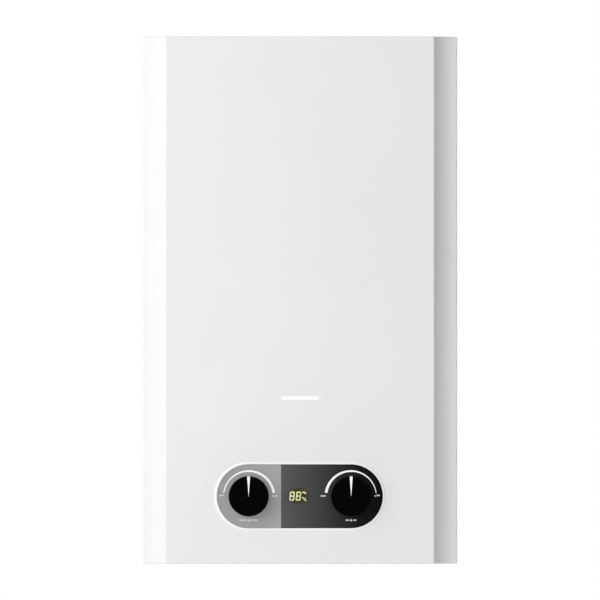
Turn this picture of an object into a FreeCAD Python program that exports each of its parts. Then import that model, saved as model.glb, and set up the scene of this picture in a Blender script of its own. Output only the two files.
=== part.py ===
# Wall-hung instantaneous gas water heater, in millimetres.
# The frame is +Z up, the front faces -Y, the wall is the plane Y = 0, and the origin is the middle of the
# wall side.  A sheet-steel cover closes a back plate.  Inside it, water runs through a water valve, a coil
# round the combustion chamber and a finned tube, and gas runs through a gas valve, a manifold and nine burner
# blades.  A rod from the water valve's diaphragm opens the gas.  Each function makes one sub-part, and keep()
# names the node it is saved as.
import FreeCAD
import Part
import math
import os

V = FreeCAD.Vector

# ---------------------------------------------------------------- driving dimensions
CASE_W = 328.4  # casing, side to side
CASE_H = 550.0  # casing, top to bottom
CASE_D = 160.0  # wall to the face of the front panel
FACE_W = 279.5  # flat face, between its two long edges
COVE_START = 52.0  # angle of the side cove to the face where it leaves the long edge, in degrees
COVE_END = 8.0  # and where it meets the side wall
SHEET = 1.0  # cover sheet steel
PLATE = 1.2  # back plate, bottom panel and bracket steel
WALL_GAP = 2.0  # rear edge of the cover to the wall

PANEL_Z = -204.5  # height of the control panel, both spindles and the valve axis
WELL_W, WELL_H = 173.2, 66.8  # well of the control panel
RIM = 2.2  # rim round the well
SPLIT_X = -19.6  # where the silver and the dark fascia meet
KNOB_X = 53.4  # spindles, left and right of the middle
KNOB_R, KNOB_FRONT_R = 21.0, 20.5  # knob at its back and at its front face
KNOB_BACK_Y, KNOB_FRONT_Y = -161.1, -176.0

SIGHT_Z = -102.0  # height of the flame window
SIGHT_W, SIGHT_H = 40.2, 4.1

VALVE_Y = -78.0  # distance of the valve axis from the wall
THREAD_R = 10.48  # G1/2 pipe thread, outside radius
STUB_BORE = 7.0
HOT_X, HOT_Y = -128.0, -46.0
GAS_X, COLD_X, DRAIN_X = -88.0, 78.0, 40.0
FLANGE_SCREW = 16.0  # screws of the gas and cold connections, from their middle
STUB_END_Z = -271.0
PANEL_TOP_Z = -243.0  # upper face of the bottom panel

CHAMBER_HALF_W = 90.0
CHAMBER_FRONT, CHAMBER_REAR = -130.0, -20.0
CHAMBER_LOW, CHAMBER_HIGH = -112.0, 150.0
CHAMBER_SHEET = 1.0
TUBE_R = 8.0  # tube through the fins
COIL_R = 6.0  # tube round the chamber, cold pipe and hot pipe
FIN_Z = 118.0  # height of the finned tubes
TUBE_ROWS = [-115.0, -95.0, -75.0, -55.0, -35.0]  # their distances from the wall

BLADE_COUNT = 9
BLADE_PITCH = 18.5
VENTURI_Z = -148.0
MANIFOLD_Y, MANIFOLD_R = -143.0, 7.0

CELL_R, CELL_LEN = 16.6, 60.0  # dry cell
BATTERY_X = 128.5
CELL_ROWS = [-105.0, -70.0]

FIT = 0.15  # clearance between two fixed pieces that fit together
RUN = 0.08  # radial clearance of a turning or sliding fit
SHUT = 0.3  # gap that a closed valve disc leaves at its seat

TOP, BOTTOM, FRONT = CASE_H / 2, -CASE_H / 2, -CASE_D
parts = {}


# ---------------------------------------------------------------- shape helpers
def keep(name, shape):
    """Saves a finished sub-part under its node name."""
    parts[name] = shape


def block(x, y, z):
    """Rectangular block, each argument a (low, high) pair."""
    return Part.makeBox(x[1] - x[0], y[1] - y[0], z[1] - z[0], V(x[0], y[0], z[0]))


def on_axis(axis, centre, along):
    """Point at a distance along an axis through centre, which gives the other two coordinates in order."""
    a, b = centre
    return {"x": V(along, a, b), "y": V(a, along, b), "z": V(a, b, along)}[axis]


DIRECTION = {"x": V(1, 0, 0), "y": V(0, 1, 0), "z": V(0, 0, 1)}


def cylinder(axis, centre, span, radius):
    return Part.makeCylinder(radius, span[1] - span[0], on_axis(axis, centre, span[0]), DIRECTION[axis])


def cone(axis, centre, span, low_radius, high_radius):
    start = on_axis(axis, centre, span[0])
    return Part.makeCone(low_radius, high_radius, span[1] - span[0], start, DIRECTION[axis])


def sleeve(axis, centre, span, outer, inner):
    return cylinder(axis, centre, span, outer).cut(cylinder(axis, centre, span, inner))


def hexagon(axis, centre, span, across_flats):
    """Hexagonal bar."""
    radius = across_flats / math.sqrt(3)
    corners = []
    for i in range(7):
        turn = math.radians(60 * i)
        at = (centre[0] + radius * math.cos(turn), centre[1] + radius * math.sin(turn))
        corners.append(on_axis(axis, at, span[0]))
    face = Part.Face(Part.makePolygon(corners))
    return face.extrude(DIRECTION[axis] * (span[1] - span[0]))


def join(shapes):
    whole = shapes[0]
    for shape in shapes[1:]:
        whole = whole.fuse(shape)
    return whole.removeSplitter()


def group(shapes):
    """Separate solids that share one node."""
    return Part.makeCompound(shapes)


def cut_all(shape, tools):
    return shape.cut(Part.makeCompound(tools)) if len(tools) > 1 else shape.cut(tools[0])


def obround(centre, size, span):
    """Pill shape in the XZ plane, long along X, between two distances in Y."""
    (x, z), (width, height) = centre, size
    radius = height / 2
    reach = width / 2 - radius
    ends = [cylinder("y", (x + side * reach, z), span, radius) for side in (-1, 1)]
    return join([block((x - reach, x + reach), span, (z - radius, z + radius))] + ends)


def upright_slot(centre, size, z):
    """Pill-shaped cutter in the XY plane, long along Y, between two heights."""
    (x, y), (width, length) = centre, size
    reach = length / 2 - width / 2
    ends = [cylinder("z", (x, y + side * reach), z, width / 2) for side in (-1, 1)]
    return join([block((x - width / 2, x + width / 2), (y - reach, y + reach), z)] + ends)


def parallel_edges(shape, axis):
    """Straight edges of a shape that run along an axis."""
    found = []
    for edge in shape.Edges:
        if len(edge.Vertexes) == 2 and edge.Curve.TypeId == "Part::GeomLine":
            run = edge.Vertexes[1].Point - edge.Vertexes[0].Point
            if run.getAngle(DIRECTION[axis]) < 0.001 or run.getAngle(DIRECTION[axis] * -1) < 0.001:
                found.append(edge)
    return found


def soft_block(x, y, z, radius, axis):
    """Block whose four edges along an axis are rounded."""
    solid = block(x, y, z)
    return solid.makeFillet(radius, parallel_edges(solid, axis))


def route(points, bend):
    """Wire of straight runs, joined by tangent arcs of one bend radius."""
    corners = [V(*p) for p in points]
    edges, start = [], corners[0]
    for before, corner, after in zip(corners, corners[1:], corners[2:]):
        run_in = (corner - before).normalize()
        run_out = (after - corner).normalize()
        turn = run_in.getAngle(run_out)
        reach = bend * math.tan(turn / 2)
        inward = (run_out - run_in).normalize()
        middle = corner + inward * (bend / math.cos(turn / 2) - bend)
        first, last = corner - run_in * reach, corner + run_out * reach
        if (first - start).Length > 0.001:
            edges.append(Part.LineSegment(start, first).toShape())
        edges.append(Part.Arc(first, middle, last).toShape())
        start = last
    edges.append(Part.LineSegment(start, corners[-1]).toShape())
    return Part.Wire(edges)


def sweep(path, radius):
    """Round bar along a wire."""
    first = path.Edges[0]
    start, heading = first.valueAt(first.FirstParameter), first.tangentAt(first.FirstParameter)
    ring = Part.Wire(Part.makeCircle(radius, start, heading))
    return path.makePipeShell([ring], True, False)


def pipe(points, bend, outer, inner):
    """Bent pipe."""
    path = route(points, bend)
    return sweep(path, outer).cut(sweep(path, inner))


def wire_lead(points, bend, radius):
    return sweep(route(points, bend), radius)


def pan_screw(axis, centre, seat, tip, head_r, head_h, shank_r):
    """Screw whose head's underside is at seat and whose tip is at tip, with a cross recess in the head."""
    way = 1 if tip > seat else -1
    head = sorted((seat - way * head_h, seat))
    shank = sorted((seat, tip))
    solid = join([cylinder(axis, centre, head, head_r), cylinder(axis, centre, shank, shank_r)])
    outer = seat - way * head_h
    recess = sorted((outer - way, outer + way * head_h * 0.55))
    a, b = centre
    for half_a, half_b in ((head_r * 0.6, 0.4), (0.4, head_r * 0.6)):
        spans = [(a - half_a, a + half_a), (b - half_b, b + half_b)]
        spans.insert("xyz".index(axis), tuple(recess))
        solid = solid.cut(block(*spans))
    return solid


# ---------------------------------------------------------------- casing
COVE_R = (CASE_W - FACE_W) / 2 / (math.sin(math.radians(COVE_START)) - math.sin(math.radians(COVE_END)))
COVE_X = FACE_W / 2 + COVE_R * math.sin(math.radians(COVE_START))
COVE_Y = FRONT - COVE_R * math.cos(math.radians(COVE_START))


def cove_point(radius, degrees):
    angle = math.radians(degrees)
    return V(COVE_X - radius * math.sin(angle), COVE_Y + radius * math.cos(angle), 0)


def plan_corners(inset):
    """Ends and middle of the right cove, for an outline inset from the skin."""
    radius = COVE_R + inset
    side, front = CASE_W / 2 - inset, FRONT + inset
    long_edge = V(COVE_X - math.sqrt(radius**2 - (front - COVE_Y) ** 2), front, 0)
    shoulder = V(side, COVE_Y + math.sqrt(radius**2 - (side - COVE_X) ** 2), 0)
    return long_edge, cove_point(radius, (COVE_START + COVE_END) / 2), shoulder


def casing_block(inset, rear, z):
    """Solid with the casing's plan outline: flat face, hollow coves and flat sides, closed along Y = rear."""
    right = list(plan_corners(inset)) + [V(CASE_W / 2 - inset, rear, 0)]
    left = [V(-p.x, p.y, 0) for p in right]
    edges = [
        Part.LineSegment(left[0], right[0]).toShape(),
        Part.Arc(right[0], right[1], right[2]).toShape(),
        Part.LineSegment(right[2], right[3]).toShape(),
        Part.LineSegment(right[3], left[3]).toShape(),
        Part.LineSegment(left[3], left[2]).toShape(),
        Part.Arc(left[2], left[1], left[0]).toShape(),
    ]
    face = Part.Face(Part.Wire(edges))
    face.translate(V(0, 0, z[0]))
    return face.extrude(V(0, 0, z[1] - z[0]))


def round_folds(solid, inset, edge_radius, shoulder_radius):
    """Rounds the upright folds at the long edges and the shoulders."""
    long_edge, _, shoulder = plan_corners(inset)
    for corner, radius in ((long_edge, edge_radius), (shoulder, shoulder_radius)):
        folds = [
            e
            for e in parallel_edges(solid, "z")
            if abs(abs(e.Vertexes[0].X) - corner.x) < 0.01 and abs(e.Vertexes[0].Y - corner.y) < 0.01
        ]
        solid = solid.makeFillet(radius, folds)
    return solid


def rim_edges(solid, z, rear):
    """Edges round the end face at height z, apart from the rear one."""
    found = []
    for edge in solid.Edges:
        box = edge.BoundBox
        if abs(box.ZMin - z) < 0.01 and abs(box.ZMax - z) < 0.01 and box.YMin < rear - 0.01:
            found.append(edge)
    return found


EDGE_FOLD, SHOULDER_FOLD, END_FOLD = 1.5, 1.4, 1.2
BOTTOM_LIP = 15.0  # width of the cover's folded bottom lip, with its sheet
EXHAUST_X, EXHAUST_Y = (-105.0, 105.0), (-128.0, -34.0)
EXHAUST_CORNER = 3.0
COVER_SCREW_X, TOP_SCREW_Y, LIP_SCREW_Y = 110.0, -9.0, -150.0
SCREW_HOLE = 3.7
CUTOUT_W, CUTOUT_H = WELL_W + 2 * RIM - 2.0, WELL_H + 2 * RIM - 2.0


def front_cover():
    """Folded front, coves, sides, top wall and bottom lip, in one sheet."""
    rear = -WALL_GAP
    skin = round_folds(casing_block(0, rear, (BOTTOM, TOP)), 0, EDGE_FOLD, SHOULDER_FOLD)
    for z in (TOP, BOTTOM):
        skin = skin.makeFillet(END_FOLD, rim_edges(skin, z, rear))
    hollow = casing_block(SHEET, 1.0, (BOTTOM + SHEET, TOP - SHEET))
    hollow = round_folds(hollow, SHEET, EDGE_FOLD - SHEET, SHOULDER_FOLD - SHEET)
    cutters = [
        hollow,
        casing_block(BOTTOM_LIP, 1.0, (BOTTOM - 1, BOTTOM + 2 * SHEET)),
        soft_block(EXHAUST_X, EXHAUST_Y, (TOP - 2 * SHEET, TOP + 1), EXHAUST_CORNER, "z"),
        obround((0, PANEL_Z), (CUTOUT_W, CUTOUT_H), (FRONT - 1, FRONT + 2 * SHEET)),
        obround((0, SIGHT_Z), (SIGHT_W, SIGHT_H), (FRONT - 1, FRONT + 2 * SHEET)),
    ]
    for side in (-1, 1):
        x = side * COVER_SCREW_X
        cutters.append(cylinder("z", (x, TOP_SCREW_Y), (TOP - 2 * SHEET, TOP + 1), SCREW_HOLE))
        cutters.append(cylinder("z", (x, LIP_SCREW_Y), (BOTTOM - 1, BOTTOM + 2 * SHEET), SCREW_HOLE))
    for cutter in cutters:
        skin = skin.cut(cutter)
    return skin


PLATE_HALF_W = CASE_W / 2 - SHEET - 1.2
PLATE_LOW, PLATE_HIGH = -262.0, TOP - SHEET - 0.2
HOOK_X, HOOK_Z, HOOK_ENTRY_R, HOOK_SLOT_R, HOOK_RISE = 100.0, 240.0, 6.0, 3.2, 12.0
FOOT_X, FOOT_Z, FOOT_R = 100.0, -253.0, 3.2
RIB_DEPTH = 2.4


def back_plate():
    """Steel tray on the wall: folded sides and top, pressed ribs, two keyholes and two fixing holes."""
    half = PLATE_HALF_W
    tray = [
        block((-half, half), (-PLATE, 0), (PLATE_LOW, PLATE_HIGH)),
        block((-half, half), (-16, 0), (PLATE_HIGH - PLATE, PLATE_HIGH)),
    ]
    for side in (-1, 1):
        tray.append(block(sorted((side * (half - PLATE), side * half)), (-14, 0), (PLATE_LOW, PLATE_HIGH)))
    cutters = []
    for x, z, width, height in ((-75, 0, 14, 340), (75, 0, 14, 340), (0, 205, 180, 12)):
        lift = (-PLATE - RIB_DEPTH, -PLATE)
        groove = (-RIB_DEPTH, 1)
        if height > width:
            for y, solids, trim in ((lift, tray, 0), (groove, cutters, PLATE)):
                radius = width / 2 - trim
                reach = height / 2 - width / 2
                solids.append(block((x - radius, x + radius), y, (z - reach, z + reach)))
                solids.extend(cylinder("y", (x, z + s * reach), y, radius) for s in (-1, 1))
        else:
            tray.append(obround((x, z), (width, height), lift))
            cutters.append(obround((x, z), (width - 2 * PLATE, height - 2 * PLATE), groove))
    for side in (-1, 1):
        x = side * HOOK_X
        cutters.append(cylinder("y", (x, HOOK_Z), (-2 * PLATE, 1), HOOK_ENTRY_R))
        cutters.append(cylinder("y", (x, HOOK_Z + HOOK_RISE), (-2 * PLATE, 1), HOOK_SLOT_R))
        cutters.append(
            block((x - HOOK_SLOT_R, x + HOOK_SLOT_R), (-2 * PLATE, 1), (HOOK_Z, HOOK_Z + HOOK_RISE))
        )
        cutters.append(cylinder("y", (side * FOOT_X, FOOT_Z), (-2 * PLATE, 1), FOOT_R))
        cutters.append(cylinder("z", (side * COVER_SCREW_X, TOP_SCREW_Y), (PLATE_HIGH - 2 * PLATE, TOP), 2.0))
    plate = join(tray)
    for cutter in cutters:
        plate = plate.cut(cutter)
    return plate


TAB_HALF_W = 12.0
SLOT_W, SLOT_LEN, SLOT_PITCH = 5.0, 24.0, 12.0
BAY_X, BAY_Y = (BATTERY_X - 17.6, BATTERY_X + 17.6), (-123.6, -51.4)
BAY_WALL = 2.0
DOOR_GAP = 0.4


def bottom_panel():
    """Panel that closes the bottom: pipe holes, air slots, battery opening and the cover's tabs."""
    inset = CASE_W / 2 - PLATE_HALF_W + PLATE + 0.6
    z = (PANEL_TOP_Z - PLATE, PANEL_TOP_Z)
    front = FRONT + inset
    sheets = [
        casing_block(inset, -PLATE, z),
        block((-150, 150), (-2 * PLATE, -PLATE), (PANEL_TOP_Z, PANEL_TOP_Z + 12)),
        block((-118, 118), (front, front + PLATE), (PANEL_TOP_Z - 9, PANEL_TOP_Z)),
    ]
    lip_top = BOTTOM + SHEET
    for side in (-1, 1):
        x = (side * COVER_SCREW_X - TAB_HALF_W, side * COVER_SCREW_X + TAB_HALF_W)
        sheets.append(block(x, (front, front + PLATE), (lip_top, PANEL_TOP_Z)))
        sheets.append(block(x, (front, front + TAB_HALF_W), (lip_top, lip_top + PLATE)))
    through = (z[0] - 1, z[1] + 1)
    cutters = [
        cylinder("z", (HOT_X, HOT_Y), through, THREAD_R + 0.5),
        cylinder("z", (GAS_X, VALVE_Y), through, 15.0),
        cylinder("z", (COLD_X, VALVE_Y), through, 15.0),
        cylinder("z", (DRAIN_X, VALVE_Y), through, 10.0),
        block(
            (BAY_X[0] - BAY_WALL - DOOR_GAP, BAY_X[1] + BAY_WALL + DOOR_GAP),
            (BAY_Y[0] - BAY_WALL - DOOR_GAP, HINGE_Y + 3.2),
            through,
        ),
    ]
    for i in range(17):
        x = -102 + SLOT_PITCH * i
        for y in (-134.0, -32.0):
            cutters.append(upright_slot((x, y), (SLOT_W, SLOT_LEN), through))
    for side in (-1, 1):
        cutters.append(cylinder("z", (side * COVER_SCREW_X, LIP_SCREW_Y), (lip_top - 1, lip_top + 2), 2.0))
    return cut_all(join(sheets), cutters)


def cover_screws():
    """Flush cross-head screws: two in the top wall, two in the bottom lip."""
    head_h, reach, head_r, shank_r = 0.95, 12.0, SCREW_HOLE - 0.1, 1.9
    screws = []
    for side in (-1, 1):
        x = side * COVER_SCREW_X
        for y, end, way in ((TOP_SCREW_Y, TOP, -1), (LIP_SCREW_Y, BOTTOM, 1)):
            seat, tip = end + way * head_h, end + way * reach
            screws.append(pan_screw("z", (x, y), seat, tip, head_r, head_h, shank_r))
    return group(screws)


GRILLE_Z = (268.0, 269.2)


def exhaust_grille():
    """Slotted steel plate over the draft hood, under the opening in the cover's top."""
    plate = soft_block((-114, 114), (-137, -25), GRILLE_Z, 6, "z")
    cutters = []
    for i in range(14):
        x = -97.5 + 15.0 * i
        cutters.append(upright_slot((x, -81.0), (8.0, 84.0), (GRILLE_Z[0] - 1, GRILLE_Z[1] + 1)))
    return cut_all(plate, cutters)


def rect_wire(half_w, front, rear, z):
    corners = [(-half_w, front), (half_w, front), (half_w, rear), (-half_w, rear), (-half_w, front)]
    return Part.makePolygon([V(x, y, z) for x, y in corners])


HOOD_LOW, HOOD_HIGH = CHAMBER_HIGH - 6.0, GRILLE_Z[0]


def draft_hood():
    """Galvanised hood that gathers the flue gas above the fins and widens to the grille."""
    shells = []
    for grow in (1.3, 0.3):
        half, front, rear = CHAMBER_HALF_W + grow, CHAMBER_FRONT - grow, CHAMBER_REAR + grow
        skirt = block((-half, half), (front, rear), (HOOD_LOW, CHAMBER_HIGH))
        low = rect_wire(half, front, rear, CHAMBER_HIGH)
        high = rect_wire(half + 16, front - 1, rear - 12, HOOD_HIGH)
        shells.append(join([skirt, Part.makeLoft([low, high], True, True)]))
    outer, inner = shells
    return outer.cut(inner)


# ---------------------------------------------------------------- control panel
FASCIA_Y = (-160.1, -158.1)
FLOOR_Y = (-158.1, -156.1)
BOARD_Y = (-155.1, -153.5)
BOARD_X, BOARD_HALF_H = (-34.0, 30.0), 16.0
DISPLAY_X, DISPLAY_HALF_W, DISPLAY_HALF_H = -2.0, 13.0, 8.0
RIM_PROUD = 1.4


def panel_bezel():
    """White moulding: rim on the cover's face, neck through its cut-out, floor and snap clips."""
    centre = (0, PANEL_Z)
    rim = obround(centre, (WELL_W + 2 * RIM, WELL_H + 2 * RIM), (FRONT - RIM_PROUD, FRONT))
    front_edges = [e for e in rim.Edges if e.BoundBox.YMax < FRONT - RIM_PROUD + 0.01]
    rim = rim.makeFillet(0.9, front_edges)
    neck = obround(centre, (CUTOUT_W - 2 * FIT, CUTOUT_H - 2 * FIT), (FRONT, FLOOR_Y[1]))
    solids = [rim, neck]
    for x in (-45, 0, 45):
        for side in (-1, 1):
            edge = PANEL_Z + side * (CUTOUT_H / 2 - 0.5)
            tip = PANEL_Z + side * (CUTOUT_H / 2 + 0.9)
            solids.append(block((x - 4, x + 4), (FRONT + SHEET + 0.1, FLOOR_Y[1]), sorted((edge, tip))))
    for x in (BOARD_X[0] + 3, BOARD_X[1] - 3):
        for side in (-1, 1):
            post = (x, PANEL_Z + side * (BOARD_HALF_H - 3))
            solids.append(cylinder("y", post, (FLOOR_Y[1], BOARD_Y[0]), 2.6))
    body = join(solids)
    well = obround(centre, (WELL_W, WELL_H), (FRONT - 3, FLOOR_Y[0]))
    through = (FLOOR_Y[0] - 1, FLOOR_Y[1] + 1)
    cutters = [well, display_box(0.5, through)]
    cutters.extend(cylinder("y", (side * KNOB_X, PANEL_Z), through, 8.0) for side in (-1, 1))
    for cutter in cutters:
        body = body.cut(cutter)
    return body


def display_box(grow, span):
    half_w, half_h = DISPLAY_HALF_W + grow, DISPLAY_HALF_H + grow
    return block((DISPLAY_X - half_w, DISPLAY_X + half_w), span, (PANEL_Z - half_h, PANEL_Z + half_h))


def fascia(side):
    """Left, silver, or right, dark, half of the panel's face."""
    sheet = obround((0, PANEL_Z), (WELL_W - 2 * FIT, WELL_H - 2 * FIT), FASCIA_Y)
    keep_x = (-200, SPLIT_X) if side < 0 else (SPLIT_X, 200)
    half = sheet.common(block(keep_x, (FRONT - 5, FRONT + 5), (PANEL_Z - 50, PANEL_Z + 50)))
    half = half.cut(cylinder("y", (side * KNOB_X, PANEL_Z), (FRONT - 5, FRONT + 5), 7.0))
    if side > 0:
        half = half.cut(display_box(0.3, (FASCIA_Y[1] - 1.2, FASCIA_Y[1] + 1)))
    return half


def display_module():
    """Two-digit light-emitting display, behind the dark fascia."""
    return display_box(0, (FASCIA_Y[1] - 1.1, BOARD_Y[0]))


def display_board():
    """Circuit board with its connector, driver chip and screw holes."""
    board = block(BOARD_X, BOARD_Y, (PANEL_Z - BOARD_HALF_H, PANEL_Z + BOARD_HALF_H))
    rear = BOARD_Y[1]
    pieces = [
        board,
        block((16, 28), (rear, rear + 6), (PANEL_Z + 4, PANEL_Z + 9)),
        block((-8, 4), (rear, rear + 1.6), (PANEL_Z - 4, PANEL_Z + 4)),
        cylinder("y", (-20, PANEL_Z + 6), (rear, rear + 6), 3.0),
    ]
    return join(pieces)


KNOB_WALL, KNOB_FACE = 2.0, 2.5
SPINDLE_R, SPINDLE_FLAT, PLUG_R = 3.0, 2.2, 6.0
SPINDLE_FRONT = KNOB_FRONT_Y + KNOB_FACE + 0.5
POINTER_W, POINTER_DEPTH = 3.3, 0.8
POINTER_TIP_W, POINTER_TIP_Z = 0.16, PANEL_Z + 0.4


def knob_envelope(x):
    """Solid outer form of a knob: a short taper with a rounded front edge."""
    solid = cone("y", (x, PANEL_Z), (KNOB_FRONT_Y, KNOB_BACK_Y), KNOB_FRONT_R, KNOB_R)
    front_edge = [e for e in solid.Edges if abs(e.BoundBox.YMax - KNOB_FRONT_Y) < 0.01]
    return solid.makeFillet(0.7, front_edge)


def knob_pointer(x):
    """White wedge inlaid in the knob's face, from its centre to its rim and down its side."""
    top, wide, thin = PANEL_Z + KNOB_R + 1, POINTER_W / 2, POINTER_TIP_W / 2
    corners = [(-wide, top), (wide, top), (thin, POINTER_TIP_Z), (-thin, POINTER_TIP_Z)]
    points = [V(x + a, KNOB_FRONT_Y - 1, z) for a, z in corners + corners[:1]]
    wedge = Part.Face(Part.makePolygon(points)).extrude(V(0, KNOB_BACK_Y - KNOB_FRONT_Y, 0))
    core_span = (KNOB_FRONT_Y + POINTER_DEPTH, KNOB_BACK_Y)
    core = cylinder("y", (x, PANEL_Z), core_span, KNOB_FRONT_R - POINTER_DEPTH)
    return wedge.common(knob_envelope(x)).cut(core)


def flatted_bar(x, radius, flat, span):
    """Round bar along Y with a flat on its upper side."""
    flat_cut = block((x - 2 * radius, x + 2 * radius), span, (PANEL_Z + flat, PANEL_Z + 2 * radius))
    return cylinder("y", (x, PANEL_Z), span, radius).cut(flat_cut)


def knob(x):
    """Hollow knob with a hub for the flatted spindle."""
    inside = (KNOB_FRONT_Y + KNOB_FACE, KNOB_BACK_Y + 1)
    hollow = cylinder("y", (x, PANEL_Z), inside, KNOB_FRONT_R - KNOB_WALL)
    hub = cylinder("y", (x, PANEL_Z), (inside[0] - 0.5, KNOB_BACK_Y), 6.0)
    body = knob_envelope(x).cut(hollow).fuse(hub)
    ribs = []
    rib_y, rib_z = (inside[0] - 0.5, KNOB_BACK_Y - 4), (PANEL_Z - 0.6, PANEL_Z + 0.6)
    for turn in (30, 150, 270):
        rib = block((x + 5.5, x + KNOB_FRONT_R - 1), rib_y, rib_z)
        ribs.append(rib.rotate(V(x, 0, PANEL_Z), V(0, 1, 0), turn))
    body = join([body] + ribs)
    bore = flatted_bar(x, SPINDLE_R + 0.02, SPINDLE_FLAT + 0.02, (SPINDLE_FRONT - 0.3, KNOB_BACK_Y + 1))
    return body.cut(bore).cut(knob_pointer(x))


def sight_window():
    """Milky heat-proof lens: a flange behind the cover and a raised bar that fills its slot."""
    flange = soft_block((-27, 27), (FRONT + SHEET, FRONT + SHEET + 1.8), (SIGHT_Z - 7, SIGHT_Z + 7), 3, "y")
    bar = obround((0, SIGHT_Z), (SIGHT_W - 2 * FIT, SIGHT_H - 2 * FIT), (FRONT + 0.3, FRONT + SHEET + 1))
    return join([flange, bar])


# ---------------------------------------------------------------- heat exchanger
FIN_COUNT, FIN_PITCH, FIN_SHEET = 41, 4.2, 0.6
FIN_LOW, FIN_HIGH = 92.0, 146.0
COIL_LEVELS = [-60.0, 0.0, 60.0]
RISER_X = 98.0
TUBE_END_X = CHAMBER_HALF_W + 2.0
HOT_RUN_X, HOT_SOCKET_Z = -118.0, -219.0


def combustion_chamber():
    """Copper shell, open at both ends, with a sight opening, two electrode holes and the tube holes."""
    wall = CHAMBER_SHEET
    z = (CHAMBER_LOW, CHAMBER_HIGH)
    half = CHAMBER_HALF_W
    outer = soft_block((-half, half), (CHAMBER_FRONT, CHAMBER_REAR), z, 6, "z")
    inner_y, inner_z = (CHAMBER_FRONT + wall, CHAMBER_REAR - wall), (z[0] - 1, z[1] + 1)
    inner = soft_block((wall - half, half - wall), inner_y, inner_z, 5, "z")
    front_span = (CHAMBER_FRONT - 1, CHAMBER_FRONT + 3)
    cutters = [soft_block((-24, 24), front_span, (SIGHT_Z - 5, SIGHT_Z + 5), 4, "y")]
    for side in (-1, 1):
        cutters.append(cylinder("y", (side * ELECTRODE_X, ELECTRODE_Z), front_span, ELECTRODE_R + 0.1))
    for y in TUBE_ROWS:
        cutters.append(cylinder("x", (y, FIN_Z), (-half - 1, half + 1), TUBE_R + 0.1))
    shell = outer.cut(inner)
    for cutter in cutters:
        shell = shell.cut(cutter)
    return shell


def fin_pack():
    """Copper fins across the top of the chamber, one solid each."""
    blank = block((0, FIN_SHEET), (CHAMBER_FRONT + 4, CHAMBER_REAR - 4), (FIN_LOW, FIN_HIGH))
    for y in TUBE_ROWS:
        blank = blank.cut(cylinder("x", (y, FIN_Z), (-1, 1 + FIN_SHEET), TUBE_R + 0.1))
    fins = []
    for i in range(FIN_COUNT):
        fin = blank.copy()
        fin.translate(V((i - (FIN_COUNT - 1) / 2) * FIN_PITCH - FIN_SHEET / 2, 0, 0))
        fins.append(fin)
    return group(fins)


def finned_tube():
    """One tube that crosses the fins five times, with a return bend at each end."""
    edges = []
    end = TUBE_END_X
    for i, y in enumerate(TUBE_ROWS):
        way = -1 if i % 2 == 0 else 1
        start, stop = V(-way * end, y, FIN_Z), V(way * end, y, FIN_Z)
        edges.append(Part.LineSegment(start, stop).toShape())
        if i + 1 < len(TUBE_ROWS):
            gap = (TUBE_ROWS[i + 1] - y) / 2
            middle = V(way * (end + gap), y + gap, FIN_Z)
            edges.append(Part.Arc(stop, middle, V(way * end, y + 2 * gap, FIN_Z)).toShape())
    path = Part.Wire(edges)
    return sweep(path, TUBE_R).cut(sweep(path, TUBE_R - 0.8))


def coil_route():
    """From the water valve's outlet up the right side, round the chamber and into the first finned tube."""
    side, front, rear = CHAMBER_HALF_W + COIL_R, CHAMBER_FRONT - COIL_R, CHAMBER_REAR + COIL_R
    outlet_z = PANEL_Z + 23
    points = [
        (OUTLET_X, VALVE_Y, outlet_z),
        (OUTLET_X, VALVE_Y, outlet_z + 11),
        (RISER_X, VALVE_Y, outlet_z + 11),
        (RISER_X, VALVE_Y, COIL_LEVELS[0]),
    ]
    for low, high in zip(COIL_LEVELS, COIL_LEVELS[1:]):
        points += [(side, front, low), (-side, front, low), (-side, rear, low), (side, rear, high)]
    points += [(side, -60.0, COIL_LEVELS[-1]), (side + 12, TUBE_ROWS[0], COIL_LEVELS[-1] + 18)]
    points += [(side + 12, TUBE_ROWS[0], FIN_Z), (TUBE_END_X, TUBE_ROWS[0], FIN_Z)]
    return points


def hot_pipe():
    """From the last finned tube down the left side to the hot outlet."""
    y = TUBE_ROWS[-1]
    points = [(-TUBE_END_X, y, FIN_Z), (HOT_RUN_X, y, FIN_Z), (HOT_RUN_X, y, -140)]
    points += [(HOT_X, HOT_Y, -175), (HOT_X, HOT_Y, HOT_SOCKET_Z)]
    return pipe(points, 12.0, COIL_R, COIL_R - 0.8)


def chamber_brackets():
    """Two folded channels that hold the chamber and the burner off the back plate."""
    channels = []
    for rear, z in ((CHAMBER_REAR, (126, 140)), (CHAMBER_REAR - 1, (-152, -138))):
        outer = block((-40, 40), (rear, -PLATE), z)
        inner = block((-41, 41), (rear + PLATE, -2 * PLATE), (z[0] - 1, z[1] - PLATE))
        channels.append(outer.cut(inner))
    return channels


def overheat_thermostat():
    """Cut-out disc on the chamber's left wall, with two blades."""
    x = -CHAMBER_HALF_W
    can = cylinder("x", (-75, 30), (x - 6, x), 8.0)
    blades = [block((x - 13, x - 6), (-75 + y - 0.4, -75 + y + 0.4), (27, 33)) for y in (-3, 3)]
    return join([can] + blades)


def outlet_sensor():
    """Clip with a temperature sensor, on the hot pipe."""
    centre = (HOT_RUN_X, TUBE_ROWS[-1])
    clip = sleeve("z", centre, (-40, -30), COIL_R + 1.3, COIL_R + 0.05)
    pill = cylinder("z", (centre[0] - COIL_R - 3.6, centre[1]), (-45, -25), 2.8)
    return join([clip, pill])


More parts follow.
